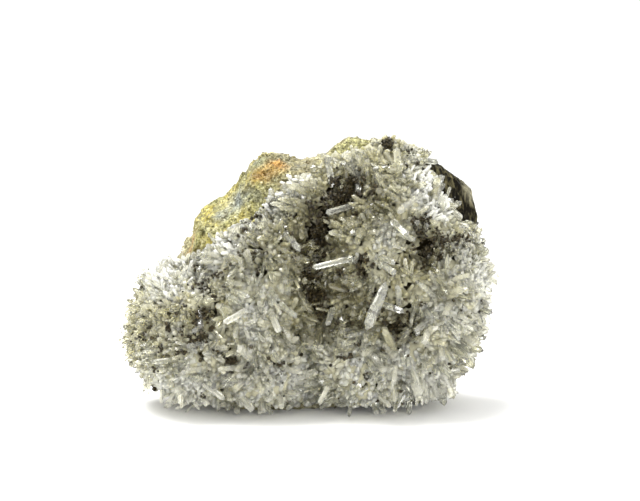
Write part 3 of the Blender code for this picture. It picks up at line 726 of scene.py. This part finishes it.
class Nodes:
    """Short ways to write a material's node tree."""

    def __init__(self, name):
        self.material = bpy.data.materials.new(name)
        self.material.use_nodes = True
        self.tree = self.material.node_tree
        self.shader = self.tree.nodes["Principled BSDF"]
        self.place = self.tree.nodes.new("ShaderNodeTexCoord").outputs["Object"]

    def put(self, socket, value):
        """Links what another node gives, or sets a plain value."""
        if isinstance(value, bpy.types.NodeSocket):
            self.tree.links.new(value, socket)
        else:
            socket.default_value = value

    def noise(self, size_mm, detail=4.0, roughness=0.6, distortion=0.0, place=None):
        """Noise with features of this size."""
        node = self.tree.nodes.new("ShaderNodeTexNoise")
        self.put(node.inputs["Vector"], place or self.place)
        node.inputs["Scale"].default_value = 1 / (size_mm * MM)
        node.inputs["Detail"].default_value = detail
        node.inputs["Roughness"].default_value = roughness
        node.inputs["Distortion"].default_value = distortion
        return node.outputs["Fac"]

    def vector(self, operation, a, b):
        """A node that works on two vectors."""
        node = self.tree.nodes.new("ShaderNodeVectorMath")
        node.operation = operation
        self.put(node.inputs[0], a)
        self.put(node.inputs[1], b)
        return node

    def facets(self, size_mm):
        """Height of small tilted facets of this size, and a random value for each facet."""
        scale = 1 / (size_mm * MM)
        cells = self.tree.nodes.new("ShaderNodeTexVoronoi")
        cells.inputs["Scale"].default_value = scale
        self.put(cells.inputs["Vector"], self.place)
        way = self.vector("SUBTRACT", self.place, cells.outputs["Position"])
        tilt = self.vector("SUBTRACT", cells.outputs["Color"], (0.5, 0.5, 0.5))
        dot = self.vector("DOT_PRODUCT", way.outputs[0], tilt.outputs[0])
        height = self.math("MULTIPLY", dot.outputs["Value"], scale)
        return height, cells.outputs["Color"]

    def spread(self, value, low, high, out_low=0.0, out_high=1.0):
        """The value's span from low to high, mapped to another span and held inside it."""
        node = self.tree.nodes.new("ShaderNodeMapRange")
        self.put(node.inputs["Value"], value)
        for key, number in zip(("From Min", "From Max", "To Min", "To Max"), (low, high, out_low, out_high)):
            node.inputs[key].default_value = number
        return node.outputs["Result"]

    def math(self, operation, a, b):
        """The two values, worked out into one."""
        node = self.tree.nodes.new("ShaderNodeMath")
        node.operation = operation
        self.put(node.inputs[0], a)
        self.put(node.inputs[1], b)
        return node.outputs[0]

    def mix(self, share, a, b):
        """Colour a, and colour b where the share is 1."""
        node = self.tree.nodes.new("ShaderNodeMix")
        node.data_type = "RGBA"
        self.put(node.inputs[0], share)
        for place, colour in ((MIX_A, a), (MIX_B, b)):
            self.put(node.inputs[place], opaque(colour))
        return node.outputs[MIX_RESULT]

    def near(self, spot, radius, soft):
        """1 near this point, in millimetres, and 0 beyond the radius."""
        place = tuple((np.array(spot, float) + SHIFT) * MM)
        far = self.vector("DISTANCE", self.place, place).outputs["Value"]
        return self.spread(far, (radius + soft) * MM, (radius - soft) * MM)

    def value(self, name):
        """A value that the mesh carries."""
        node = self.tree.nodes.new("ShaderNodeAttribute")
        node.attribute_name = name
        return node.outputs["Fac"]

    def finish(self, colour, roughness, height=None, depth_mm=0.1, **plain):
        """Joins what was made to the Principled shader, and gives back the material."""
        self.put(self.shader.inputs["Base Color"], opaque(colour))
        self.put(self.shader.inputs["Roughness"], roughness)
        for key, number in plain.items():
            self.shader.inputs[key.replace("_", " ").title().replace("Ior", "IOR")].default_value = number
        if height is not None:
            bump = self.tree.nodes.new("ShaderNodeBump")
            bump.inputs["Distance"].default_value = depth_mm * MM
            self.put(bump.inputs["Height"], height)
            self.put(self.shader.inputs["Normal"], bump.outputs["Normal"])
        return self.material


def quartz(name, tones, transmission, roughness, density=0, **plain):
    """Crystal that is see-through and slightly clouded, toned by the value each crystal carries."""
    white, beige, shade_tone = tones
    nodes = Nodes(name)
    # The crystal's tone runs from white over beige to the painted shade of the hollows.
    tone = nodes.mix(nodes.spread(nodes.value("hue"), 0.0, 1.0), white, beige)
    tone = nodes.mix(nodes.spread(nodes.value("hue"), 1.0, 2.0), tone, shade_tone)
    nodes.shader.inputs["Subsurface Radius"].default_value = (1.0, 1.0, 1.0)
    made = nodes.finish(
        colour=tone, roughness=roughness, transmission_weight=transmission, ior=QUARTZ_IOR, **plain,
    )
    if density:
        absorb = nodes.tree.nodes.new("ShaderNodeVolumeAbsorption")
        absorb.inputs["Color"].default_value = ABSORBED_TONE
        absorb.inputs["Density"].default_value = density
        output = nodes.tree.nodes["Material Output"]
        nodes.tree.links.new(absorb.outputs[0], output.inputs["Volume"])
    return made


def sugar_finish(name, tones, transmission=0.55):
    """Small crystals that scatter the light inside them, as sugar and snow do."""
    return quartz(
        name, tones, transmission, 0.35,
        subsurface_weight=1.0, subsurface_scale=0.0012, specular_ior_level=0.3,
    )


def sugar_tones(settings):
    """The tones of the small crystals: white, beige and the painted shade of the hollows."""
    return settings.white, settings.beige, settings.shade_tone


def remeshed(node, voxel):
    """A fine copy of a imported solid, as arrays of vertices in the lump's frame, normals and faces."""
    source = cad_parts[node]
    copy = bpy.data.objects.new("copy", source.data.copy())
    bpy.context.scene.collection.objects.link(copy)
    modifier = copy.modifiers.new("Remesh", "REMESH")
    modifier.mode = "VOXEL"
    modifier.voxel_size = voxel
    smooth = copy.modifiers.new("Smooth", "SMOOTH")
    smooth.iterations = 3
    graph = bpy.context.evaluated_depsgraph_get()
    mesh = bpy.data.meshes.new_from_object(copy.evaluated_get(graph))
    vertices = np.empty(len(mesh.vertices) * 3)
    mesh.vertices.foreach_get("co", vertices)
    normals = np.empty(len(mesh.vertices) * 3)
    mesh.vertices.foreach_get("normal", normals)
    faces = [tuple(p.vertices) for p in mesh.polygons]
    bpy.data.objects.remove(copy)
    return vertices.reshape(-1, 3) / MM - SHIFT, normals.reshape(-1, 3), faces


def faceted(points, size, slope, step, tilt_scale=31.0, step_scale=17.0):
    """Relief of flat broken facets of this size: each cell has its own tilt and its own height."""
    relief = np.empty(len(points))
    half = Vector((0.5, 0.5, 0.5))
    for i, point in enumerate(points):
        place = Vector(point) / size
        centre = noise.voronoi(place)[1][0]
        tilt = noise.cell_vector(centre * tilt_scale) - half
        relief[i] = (place - centre).dot(tilt) * slope + noise.cell(centre * step_scale) * step
    return relief * size


class SPECIMEN_OT_rock(bpy.types.Operator):
    """Builds the broken, tarnished pyrite over its solid"""

    bl_idname = "specimen.rock"
    bl_label = "Build Pyrite Rock"

    def execute(self, context):
        settings = context.scene.specimen_rock
        vertices, normals, faces = remeshed("pyrite_matrix", settings.voxel)
        shifts = [noise_at(vertices, WARP_SIZE, (offset,) * 3) for offset in WARP_OFFSETS]
        warped = vertices + WARP_REACH * np.stack(shifts, axis=1)
        rough = rough_at(vertices, 1.2, 3)
        relief = faceted(warped, 3.6, 0.45, 0.06) + faceted(warped, 1.6, 0.5, 0.07) + 0.08 * rough
        back = np.clip((vertices[:, 1] - 6) / 6, 0.25, 1)
        broad = np.clip(faceted(vertices, 10.0, 0.28, 0.07) - 0.4, -1.4, 0.9) * back
        base = np.clip(vertices[:, 2] / 0.8, 0, 1)
        vertices = vertices + normals * ((np.clip(relief, -0.6, 0.6) + broad) * base - 0.15)[:, None]
        for (x, z), radius, shift in ROCK_SHIFTS:
            near = np.exp(-((vertices[:, 0] - x) ** 2 + (vertices[:, 2] - z) ** 2) / radius**2)
            vertices[:, (0, 2)] += near[:, None] * np.array(shift)
        vertices[:, 2] = np.maximum(vertices[:, 2], 0.0)
        rock = put_mesh("pyrite_rock", vertices, faces, self.finish(settings))
        put_value(rock, "relief", relief)
        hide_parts("pyrite_matrix")
        return {"FINISHED"}

    def finish(self, settings):
        nodes = Nodes("tarnished_pyrite")
        relief = nodes.value("relief")
        grain, tone = nodes.facets(0.9)
        fine = nodes.noise(0.45, 5.0, 0.75)
        broad = nodes.noise(9.0, 5.0, 0.65, 0.8)
        other = nodes.noise(5.0, 4.0, 0.6, 0.5)
        gold, grey, tarnish, blue = settings.gold, settings.grey, settings.tarnish, settings.blue
        colour = nodes.mix(nodes.spread(broad, 0.36, 0.62), gold, grey)
        colour = nodes.mix(nodes.spread(other, 0.58, 0.74, 0.0, 0.4), colour, tarnish)
        # Painted light: the upper-left side, where the light falls, in brighter gold.
        lit_gold = nodes.mix(nodes.spread(other, 0.40, 0.60), LEMON_GOLD, OLIVE_GOLD)
        colour = nodes.mix(nodes.near(*LIT_GOLDEN_SIDE), colour, lit_gold)
        crest = nodes.mix(nodes.spread(fine, 0.4, 0.6), CREST_DARK, CREST_LIGHT)
        colour = nodes.mix(nodes.near(*CREST), colour, crest)
        # Painted reflections: some facets dark, some bright glints.
        colour = nodes.mix(nodes.spread(tone, 0.0, 0.55, 0.75, 0.0), colour, DARK_REFLECTION_FACET)
        colour = nodes.mix(nodes.spread(tone, 0.72, 0.95, 0.0, 0.6), colour, GLINT_FACET)
        for spots, start, end, most, tint in (
            (RUSTY_SPOTS, 0.25, 0.45, 0.85, tarnish),
            ((BROWN_SPOT,), 0.45, 0.60, 1.0, RUST_BROWN),
            ((GREEN_CAP,), 0.35, 0.50, 1.0, CAP_GREEN),
            (BLUE_SPOTS, 0.30, 0.50, 1.0, blue),
        ):
            mottled = nodes.spread(fine, start, end, 0.0, most)
            for spot in spots:
                colour = nodes.mix(nodes.math("MULTIPLY", nodes.near(*spot), mottled), colour, tint)
        colour = nodes.mix(nodes.spread(fine, 0.57, 0.69, 0.0, 0.85), colour, BRIGHT_SPECK)
        colour = nodes.mix(nodes.spread(fine, 0.49, 0.40), colour, DARK_SPECK)
        # Painted shade: darker where the relief sinks into hollows.
        colour = nodes.mix(nodes.spread(relief, -0.15, -0.60, 0.0, 0.45), colour, RELIEF_HOLLOW_SHADE)
        height = nodes.math("ADD", grain, nodes.math("MULTIPLY", fine, 0.35))
        return nodes.finish(
            colour=colour, roughness=nodes.spread(tone, 0.0, 1.0, 0.22, 0.5), height=height, depth_mm=0.5,
            metallic=0.35, specular_ior_level=0.3,
        )


class SPECIMEN_OT_knob(bpy.types.Operator):
    """Builds the dark ore knob at the upper right"""

    bl_idname = "specimen.knob"
    bl_label = "Build Dark Ore Knob"

    def execute(self, context):
        vertices, normals, faces = remeshed("dark_ore_knob", KNOB_VOXEL)
        slanted = (Vector((x, y, z * 0.28 + x * 0.35)) / KNOB_STREAK for x, y, z in vertices)
        ridges = [noise.ridged_multi_fractal(place, 0.8, 2.1, 5, 1.0, 2.0) for place in slanted]
        relief = np.array(ridges) - 1.0
        vertices = vertices + normals * (0.35 * relief - 0.15)[:, None]
        knob = put_mesh("dark_ore_rock", vertices, faces, self.finish())
        put_value(knob, "relief", relief)
        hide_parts("dark_ore_knob")
        return {"FINISHED"}

    def finish(self):
        nodes = Nodes("dark_ore")
        mapping = nodes.tree.nodes.new("ShaderNodeMapping")
        mapping.inputs["Rotation"].default_value = (0.0, math.radians(-24), 0.0)
        mapping.inputs["Scale"].default_value = (1.0, 1.0, 0.22)
        nodes.put(mapping.inputs["Vector"], nodes.place)
        streaks = nodes.noise(1.1, 6.0, 0.7, 0.4, mapping.outputs[0])
        colour = nodes.mix(nodes.spread(streaks, 0.48, 0.68), KNOB_DARK, KNOB_LIGHT)
        rim = nodes.math("MULTIPLY", nodes.near(*KNOB_RIM), nodes.spread(streaks, 0.35, 0.55))
        colour = nodes.mix(rim, colour, KNOB_RIM_TONE)
        return nodes.finish(
            colour=colour, roughness=nodes.spread(streaks, 0.3, 0.7, 0.35, 0.55),
            height=streaks, depth_mm=0.3, specular_ior_level=0.05,
        )


class SPECIMEN_OT_bed(bpy.types.Operator):
    """Builds the milky bed that the crystals stand on"""

    bl_idname = "specimen.bed"
    bl_label = "Build Quartz Bed"

    def execute(self, context):
        settings = context.scene.specimen_druse
        bm = bmesh.new()
        bmesh.ops.create_icosphere(bm, subdivisions=7, radius=1.0)
        directions = np.array([v.co for v in bm.verts])
        points = HEART + directions * (envelope(directions) + DRUSE_PROUD - BED_SUNK)[:, None]
        rough = rough_at(points, 2.2, 4)
        dark = gap_shade(points)
        points = points + directions * (BED_ROUGH * rough - GAP_DEPTH * dark)[:, None]
        room = growth_y(points) - points[:, 1]
        keep = (room > -0.2) & (points[:, 2] > DRUSE_FLOOR - 0.6)
        for vertex, point in zip(bm.verts, points):
            vertex.co = point
        # Painted shade on the bed: darker in the gaps, where its roughness sinks it, and in the hollows.
        tone = bm.verts.layers.float.new("tone")
        for vertex, value in zip(bm.verts, dark + 0.2 - 0.3 * rough + 0.45 * patches(points, SHADED_HOLLOW_PATCHES)):
            vertex[tone] = value
        bmesh.ops.delete(bm, geom=[v for v, k in zip(bm.verts, keep) if not k], context="VERTS")
        edge = np.array([v.co for v in bm.verts if v.is_boundary])
        for step in SKIRT_STEPS:
            rim = [e for e in bm.edges if e.is_boundary]
            for vertex in bmesh.ops.extrude_edge_only(bm, edges=rim)["geom"]:
                if isinstance(vertex, bmesh.types.BMVert):
                    vertex[tone] = 0.5
                    vertex.co += (Vector(HEART) - vertex.co).normalized() * step
        bmesh.ops.translate(bm, vec=SHIFT, verts=bm.verts)
        bmesh.ops.scale(bm, vec=(MM, MM, MM), verts=bm.verts)
        mesh = bpy.data.meshes.new("quartz_bed")
        bm.to_mesh(mesh)
        bm.free()
        mesh.polygons.foreach_set("use_smooth", [True] * len(mesh.polygons))
        mesh.materials.append(self.finish(settings))
        bed = bpy.data.objects.new("quartz_bed", mesh)
        context.scene.collection.objects.link(bed)
        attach(bed, "root")
        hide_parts("quartz_druse")
        self.put_rim(edge, settings)
        return {"FINISHED"}

    def put_rim(self, edge, settings):
        """Small crystals on the broken edge where the quartz lies on the rock."""
        rng = np.random.default_rng(7)
        roots = edge[rng.integers(0, len(edge), RIM_CRYSTALS)]
        outward = unit(roots - HEART)
        roots = roots - outward * rng.uniform(0.0, RIM_DEPTH, (len(roots), 1))
        axes = 0.9 * np.array((0.0, 1.0, 0.0)) + 0.5 * outward + 0.45 * rng.normal(size=roots.shape)
        axes[:, 2] = np.where(roots[:, 2] < 4, np.maximum(axes[:, 2], 0), axes[:, 2])
        finish = sugar_finish("rim_quartz", sugar_tones(settings))
        put_crystals("quartz_rim", roots, unit(axes), *sizes(RIM_SIZE, len(roots), rng), rng, 0.8, finish)

    def finish(self, settings):
        nodes = Nodes("quartz_bed")
        tone = nodes.value("tone")
        fine = nodes.noise(0.9, 5.0, 0.7)
        share = nodes.math("ADD", tone, nodes.spread(fine, 0.3, 0.7, -0.15, 0.15))
        # Painted shade: the bed goes to its shade colour where its tone is high.
        colour = nodes.mix(nodes.spread(share, 0.1, 0.95), settings.bed_light, settings.bed_shade)
        return nodes.finish(colour=colour, roughness=0.6, height=fine, depth_mm=0.4, specular_ior_level=0.02)


def sprays(count, per, scatter, spread, rng, margin):
    """Roots, axes and the surface's normals of crystals that fan out from shared roots."""
    centres = spread_over_druse(count // per + 1, rng, margin)
    points, normals = outside(centres, DRUSE_PROUD - 0.5)
    points = np.repeat(points, per, axis=0)[:count]
    normals = np.repeat(normals, per, axis=0)[:count]
    step = rng.normal(size=points.shape)
    step -= normals * (step * normals).sum(1, keepdims=True)
    roots = points + scatter * step
    lean = np.repeat(rng.normal(size=(len(centres), 3)), per, axis=0)[:count]
    fan = unit(step) * rng.uniform(0.1, 1.0, (count, 1))
    lean = unit(lean - normals * (lean * normals).sum(1, keepdims=True))
    axes = unit(normals + (0.9 + 0.4 * rng.normal(size=(count, 1))) * lean + spread * fan + (0, 0, -0.1))
    inward = np.minimum((axes * normals).sum(1, keepdims=True) - 0.3, 0)
    return roots, unit(axes - inward * normals), normals


def shorter_at_edge(roots):
    """How much of its length a crystal keeps near the edge of the growth."""
    return np.clip(0.3 + (growth_y(roots) - roots[:, 1]) / 7, 0, 1)


def sizes(kind, count, rng):
    """A length and a radius for each crystal of this kind."""
    return [rng.uniform(least, most, count) for least, most in kind]


def put_crystals(name, roots, axes, lengths, radii, rng, buried, finish):
    """A piece of many crystals, each with its own hue."""
    vertices, faces = crystals(roots, axes, lengths, radii, rng, buried)
    made = put_mesh(name, vertices, faces, finish)
    put_value(made, "hue", np.repeat(hue(roots, rng), CORNERS_EACH))
    return made


def put_both(kind, grown, keep, least_cloudy, glass, buried, rng):
    """Two pieces of one kind, cloudy and clear; more are cloudy where the druse is white or painted as
    brightly lit.
    """
    cloudy = rng.random(len(keep)) < least_cloudy + 0.5 * patches(grown[0], WHITE_AND_LIT_PATCHES)
    for word, tones, chosen in (
        ("cloudy", HAZY_TONES, keep & cloudy),
        ("clear", CLEAR_TONES, keep & ~cloudy),
    ):
        finish = quartz(f"{word}_{kind}", tones, *glass[word])
        put_crystals(f"quartz_{kind}_{word}", *(values[chosen] for values in grown), rng, buried, finish)


class SPECIMEN_OT_sugar(bpy.types.Operator):
    """Builds the tiny crystals that cover the bed, and the white tufts of painted glare among them"""

    bl_idname = "specimen.sugar"
    bl_label = "Build Sugar Quartz"

    def execute(self, context):
        settings = context.scene.specimen_druse
        rng = np.random.default_rng(11)
        roots, normals = outside(spread_over_druse(settings.sugar, rng), DRUSE_PROUD - 0.5)
        keep = gap_shade(roots) < rng.uniform(0.1, 1.2, len(roots))
        finish = sugar_finish("sugar_quartz", sugar_tones(settings))
        self.put_small("quartz_sugar", roots[keep], normals[keep], 0.75, SUGAR_SIZE, 0.6, finish, rng)
        # The white tufts, toned as painted glare where the quartz is lit brightest.
        rng = np.random.default_rng(17)
        roots, normals = outside(spread_over_druse(settings.frost, rng, 0.8), DRUSE_PROUD)
        keep = patches(roots, GLARE_FROST_PATCHES) > rng.uniform(0.15, 1.0, len(roots))
        finish = sugar_finish("glare_frost_quartz", GLARE_FROST_TONES, 0.4)
        self.put_small("quartz_glare_frost", roots[keep], normals[keep], 0.6, FROST_SIZE, 0.8, finish, rng)
        return {"FINISHED"}

    def put_small(self, name, roots, normals, disorder, kind, buried, finish, rng):
        """A piece of small crystals that lean away from the surface's normals at random."""
        axes = unit(normals + disorder * rng.normal(size=normals.shape))
        put_crystals(name, roots, axes, *sizes(kind, len(roots), rng), rng, buried, finish)


class SPECIMEN_OT_needles(bpy.types.Operator):
    """Builds the fine needles, cloudy and clear"""

    bl_idname = "specimen.needles"
    bl_label = "Build Fine Needles"

    def execute(self, context):
        rng = np.random.default_rng(23)
        count = context.scene.specimen_druse.needles
        roots, axes, _ = sprays(count, 6, 1.0, 0.7, rng, 0.6)
        smaller = 1 - 0.35 * patches(roots, FINE_PATCHES)
        lengths, radii = sizes(NEEDLE_SIZE, count, rng)
        lengths = lengths * smaller * shorter_at_edge(roots)
        tips = roots + axes * lengths[:, None]
        keep = (tips[:, 2] > 0.6) & (tips[:, 2] < HIGHEST_TIP)
        keep &= gap_shade(roots) < rng.uniform(0.1, 1.3, count)
        keep &= off_leading(tips, 1.6) & off_leading((roots + tips) / 2, 1.3)
        put_both("needles", (roots, axes, lengths, radii * smaller), keep, 0.35, NEEDLE_GLASS, 0.8, rng)
        return {"FINISHED"}


class SPECIMEN_OT_prisms(bpy.types.Operator):
    """Builds the larger crystals of the druse, cloudy and clear"""

    bl_idname = "specimen.prisms"
    bl_label = "Build Prisms"

    def execute(self, context):
        rng = np.random.default_rng(5)
        count = context.scene.specimen_druse.prisms
        roots, axes, normals = sprays(count, 4, 1.2, 0.8, rng, 1.0)
        roots = roots + normals * rng.uniform(0.0, 0.9, (count, 1))
        smaller = 1 - 0.4 * patches(roots, FINE_PATCHES)
        lengths, radii = sizes(PRISM_SIZE, count, rng)
        lengths = lengths * (0.55 + 0.45 * np.maximum(0, -normals[:, 1])) * smaller
        lengths *= shorter_at_edge(roots)
        tips = roots + axes * lengths[:, None]
        keep = (tips[:, 2] > 0.9) & (tips[:, 2] < HIGHEST_TIP)
        keep &= off_leading(tips, 2.6) & off_leading((roots + tips) / 2, 2.2)
        put_both("prisms", (roots, axes, lengths, radii * smaller), keep, 0.25, PRISM_GLASS, 1.0, rng)
        return {"FINISHED"}


class SPECIMEN_OT_leading(bpy.types.Operator):
    """Builds the crystals that stand out in the photograph"""

    bl_idname = "specimen.leading"
    bl_label = "Build Leading Crystals"

    def execute(self, context):
        rng = np.random.default_rng(2)
        low_ends, high_ends, stand_outs, thicknesses, kinds = zip(*LEADING_CRYSTALS)
        roots, normals = outside(front_directions(low_ends), DRUSE_PROUD)
        tips = from_photo(np.array(high_ends), roots[:, 1] - np.array(stand_outs) - TIP_LIFT)
        tips[:, 2] = np.maximum(tips[:, 2], 0.3)
        roots = roots + normals * 0.5
        *ends, stand_out, thickness = CROSSING_CRYSTAL
        ends = np.array(ends)
        middle = front_directions([ends.mean(0)])
        y = outside(middle, DRUSE_PROUD)[0][0, 1] - stand_out - CROSSING_LIFT
        ends = from_photo(ends, y + np.array(CROSSING_SLANT))
        roots = np.concatenate([roots, [ends.mean(0)] * 2])
        tips = np.concatenate([tips, ends])
        radii = np.array((*thicknesses, thickness, thickness)) / 2
        lengths = np.linalg.norm(tips - roots, axis=1)
        cloudy = np.array([kind == "cloudy" for kind in (*kinds, "clear", "clear")])
        for word, tones, density, chosen in (
            ("cloudy", HAZY_TONES, 0, cloudy),
            ("clear", CLEAR_TONES, CLEAR_DENSITY, ~cloudy),
        ):
            axes = tips[chosen] - roots[chosen]
            vertices, faces = crystals(roots[chosen], axes, lengths[chosen], radii[chosen], rng, 0.0, 0.95)
            finish = quartz(f"leading_{word}_quartz", tones, *LEADING_GLASS[word], density)
            put_mesh(f"quartz_leading_{word}", vertices, faces, finish)
        return {"FINISHED"}


def out_of(normals, rng):
    """How far grains stand off the bed: further in front than where the surface turns away."""
    return rng.uniform(0.2, 1.1, (len(normals), 1)) * (0.8 + 2.2 * np.clip(-normals[:, 1:2], 0, 1) ** 2)


class SPECIMEN_OT_grains(bpy.types.Operator):
    """Builds the dark pyrite grains between the needles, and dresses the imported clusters"""

    bl_idname = "specimen.grains"
    bl_label = "Build Pyrite Grains"

    def execute(self, context):
        rng = np.random.default_rng(31)
        count = context.scene.specimen_druse.grains
        shares = np.array([share * radius**1.5 for _, _, radius, share in DARK_PATCHES])
        chosen = rng.choice(len(DARK_PATCHES), size=count // 7, p=shares / shares.sum())
        places = np.array([patch[:3] for patch in DARK_PATCHES])[chosen]
        spots = places[:, :2] + 0.6 * places[:, 2:] * rng.normal(size=(len(places), 2))
        spots = spots[(spots[:, 1] > LOWEST_GRAIN) & (spots[:, 1] < HIGHEST_GRAIN)]
        blobs = np.concatenate([front_directions(spots), spread_over_druse(count // 70, rng, 0.3)])
        points, normals = outside(blobs, DRUSE_PROUD)
        points = points + normals * out_of(normals, rng)
        points = np.repeat(points, GROUP_SIZE, axis=0)
        points = points + rng.normal(size=points.shape) * rng.uniform(0.3, 0.75, (len(points), 1))
        singles, normals = outside(spread_over_druse(count // 8, rng, 0.3), DRUSE_PROUD)
        points = np.concatenate([points, singles + normals * out_of(normals, rng)])
        points = points[growth_y(points) - points[:, 1] > rng.uniform(0.0, 6.0, len(points))]
        finish = self.finish()
        halves = 0.5 * (0.26 + 0.65 * rng.random(len(points)) ** 2.5)
        self.put_cubes("pyrite_grains", points, halves, rng, finish)
        for name, node in list(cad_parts.items()):
            if name.startswith("pyrite_cluster"):
                corners = np.array([vertex.co for vertex in node.data.vertices]) / MM - SHIFT
                places = corners[rng.integers(0, len(corners), CLUSTER_CUBES)]
                inward = rng.uniform(0.05, 0.5, (CLUSTER_CUBES, 1))
                places = places + (corners.mean(0) - places) * inward
                halves = rng.uniform(0.18, 0.45, CLUSTER_CUBES)
                cluster = self.put_cubes(name + "_grains", places, halves, rng, finish)
                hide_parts(name)
        return {"FINISHED"}

    def put_cubes(self, name, points, halves, rng, finish):
        """A piece of small uneven cubes, each turned its own way."""
        number = len(points)
        x_axis = unit(rng.normal(size=(number, 3)))
        y_axis = unit(np.cross(x_axis, rng.normal(size=(number, 3))))
        z_axis = np.cross(x_axis, y_axis)
        corners = np.array([(a, b, c) for c in (-1, 1) for b in (-1, 1) for a in (-1, 1)], float)
        stretch = rng.uniform(0.7, 1.15, (number, 1, 3)) * halves[:, None, None]
        local = corners[None] * stretch * rng.uniform(0.82, 1.0, (number, 8, 1))
        axes = (axis[:, None] for axis in (x_axis, y_axis, z_axis))
        vertices = points[:, None, :] + sum(local[..., i, None] * axis for i, axis in enumerate(axes))
        cube = ((0, 2, 3, 1), (4, 5, 7, 6), (0, 1, 5, 4), (2, 6, 7, 3), (0, 4, 6, 2), (1, 3, 7, 5))
        faces = [tuple(8 * i + k for k in face) for i in range(number) for face in cube]
        made = put_mesh(name, vertices.reshape(-1, 3), faces, finish)
        return made

    def finish(self):
        nodes = Nodes("dark_pyrite")
        fine = nodes.noise(0.5, 4.0)
        colour = nodes.mix(nodes.spread(fine, 0.45, 0.7), GRAIN_DARK, GRAIN_LIGHT)
        return nodes.finish(
            colour=colour, roughness=0.45, height=fine, depth_mm=0.08, specular_ior_level=0.25,
        )


class SPECIMEN_OT_stage(bpy.types.Operator):
    """Builds the floor, the light and the camera"""

    bl_idname = "specimen.stage"
    bl_label = "Build Studio"

    def execute(self, context):
        settings = context.scene.specimen_stage
        mesh = bpy.data.meshes.new("floor")
        corners = [(x * FLOOR_HALF, y * FLOOR_HALF, 0) for x, y in ((-1, -1), (1, -1), (1, 1), (-1, 1))]
        mesh.from_pydata(corners, [], [(0, 1, 2, 3)])
        floor = bpy.data.objects.new("floor", mesh)
        context.scene.collection.objects.link(floor)
        nodes = Nodes("floor")
        mesh.materials.append(nodes.finish(colour=FLOOR_TONE, roughness=0.9, specular_ior_level=0.0))
        floor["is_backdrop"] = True
        world = bpy.data.worlds.new("studio")
        world.use_nodes = True
        background = world.node_tree.nodes["Background"]
        background.inputs["Color"].default_value = (1.0, 1.0, 1.0, 1.0)
        background.inputs["Strength"].default_value = settings.world
        context.scene.world = world
        self.put_light("top_light", *TOP_LAMP, settings.key)
        self.put_light("front_light", *FRONT_LAMP, settings.fill)
        data = bpy.data.cameras.new("camera")
        data.lens = settings.lens
        data.sensor_width = SENSOR_WIDTH_MM
        data.shift_x, data.shift_y = (shift / PICTURE_WIDTH_PX for shift in PICTURE_SHIFT_PX)
        data.clip_start = 0.01
        camera = bpy.data.objects.new("camera", data)
        tilt = settings.elevation
        look = (LOOK + SHIFT) * MM
        away = np.array((0.0, -math.cos(tilt), math.sin(tilt)))
        camera.location = look + settings.distance * away
        camera.rotation_euler = (math.pi / 2 - tilt, 0.0, 0.0)
        context.scene.collection.objects.link(camera)
        context.scene.camera = camera
        context.scene.view_settings.view_transform = "Standard"
        return {"FINISHED"}

    def put_light(self, name, place, size, power):
        """A round soft lamp that looks at the specimen."""
        lamp = bpy.data.lights.new(name, "AREA")
        lamp.shape = "DISK"
        lamp.size = size
        lamp.energy = power
        light = bpy.data.objects.new(name, lamp)
        light.location = place
        light.rotation_euler = (Vector(LAMPS_LOOK) - light.location).to_track_quat("-Z", "Y").to_euler()
        bpy.context.scene.collection.objects.link(light)


class SPECIMEN_PT_panel(bpy.types.Panel):
    """Lists the steps that build the specimen"""

    bl_idname = "SPECIMEN_PT_panel"
    bl_label = "Pyrite with Quartz"
    bl_space_type = "VIEW_3D"
    bl_region_type = "UI"
    bl_category = "Specimen"

    def draw(self, context):
        scene = context.scene
        for settings in (scene.specimen_rock, scene.specimen_druse, scene.specimen_stage):
            box = self.layout.box()
            for name in settings.__annotations__:
                box.prop(settings, name)
        for step in STEPS:
            self.layout.operator(step.bl_idname)


STEPS = (
    SPECIMEN_OT_rock,
    SPECIMEN_OT_knob,
    SPECIMEN_OT_bed,
    SPECIMEN_OT_sugar,
    SPECIMEN_OT_needles,
    SPECIMEN_OT_prisms,
    SPECIMEN_OT_leading,
    SPECIMEN_OT_grains,
    SPECIMEN_OT_stage,
)
CLASSES = (RockSettings, DruseSettings, StageSettings, *STEPS, SPECIMEN_PT_panel)


def register():
    for cls in CLASSES:
        bpy.utils.register_class(cls)
    bpy.types.Scene.specimen_rock = PointerProperty(type=RockSettings)
    bpy.types.Scene.specimen_druse = PointerProperty(type=DruseSettings)
    bpy.types.Scene.specimen_stage = PointerProperty(type=StageSettings)


def unregister():
    del bpy.types.Scene.specimen_stage
    del bpy.types.Scene.specimen_druse
    del bpy.types.Scene.specimen_rock
    for cls in reversed(CLASSES):
        bpy.utils.unregister_class(cls)


def plain(box):
    """The box's corners as lists of numbers."""
    return [[float(value) for value in corner] for corner in box]


def main():
    register()
    bpy.ops.specimen.rock()
    bpy.ops.specimen.knob()
    bpy.ops.specimen.bed()
    bpy.ops.specimen.sugar()
    bpy.ops.specimen.needles()
    bpy.ops.specimen.prisms()
    bpy.ops.specimen.leading()
    bpy.ops.specimen.grains()
    bpy.ops.specimen.stage()
    {"cad": plain(CAD_BOX), "visual": plain(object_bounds())}


if __name__ == "__main__":
    main()
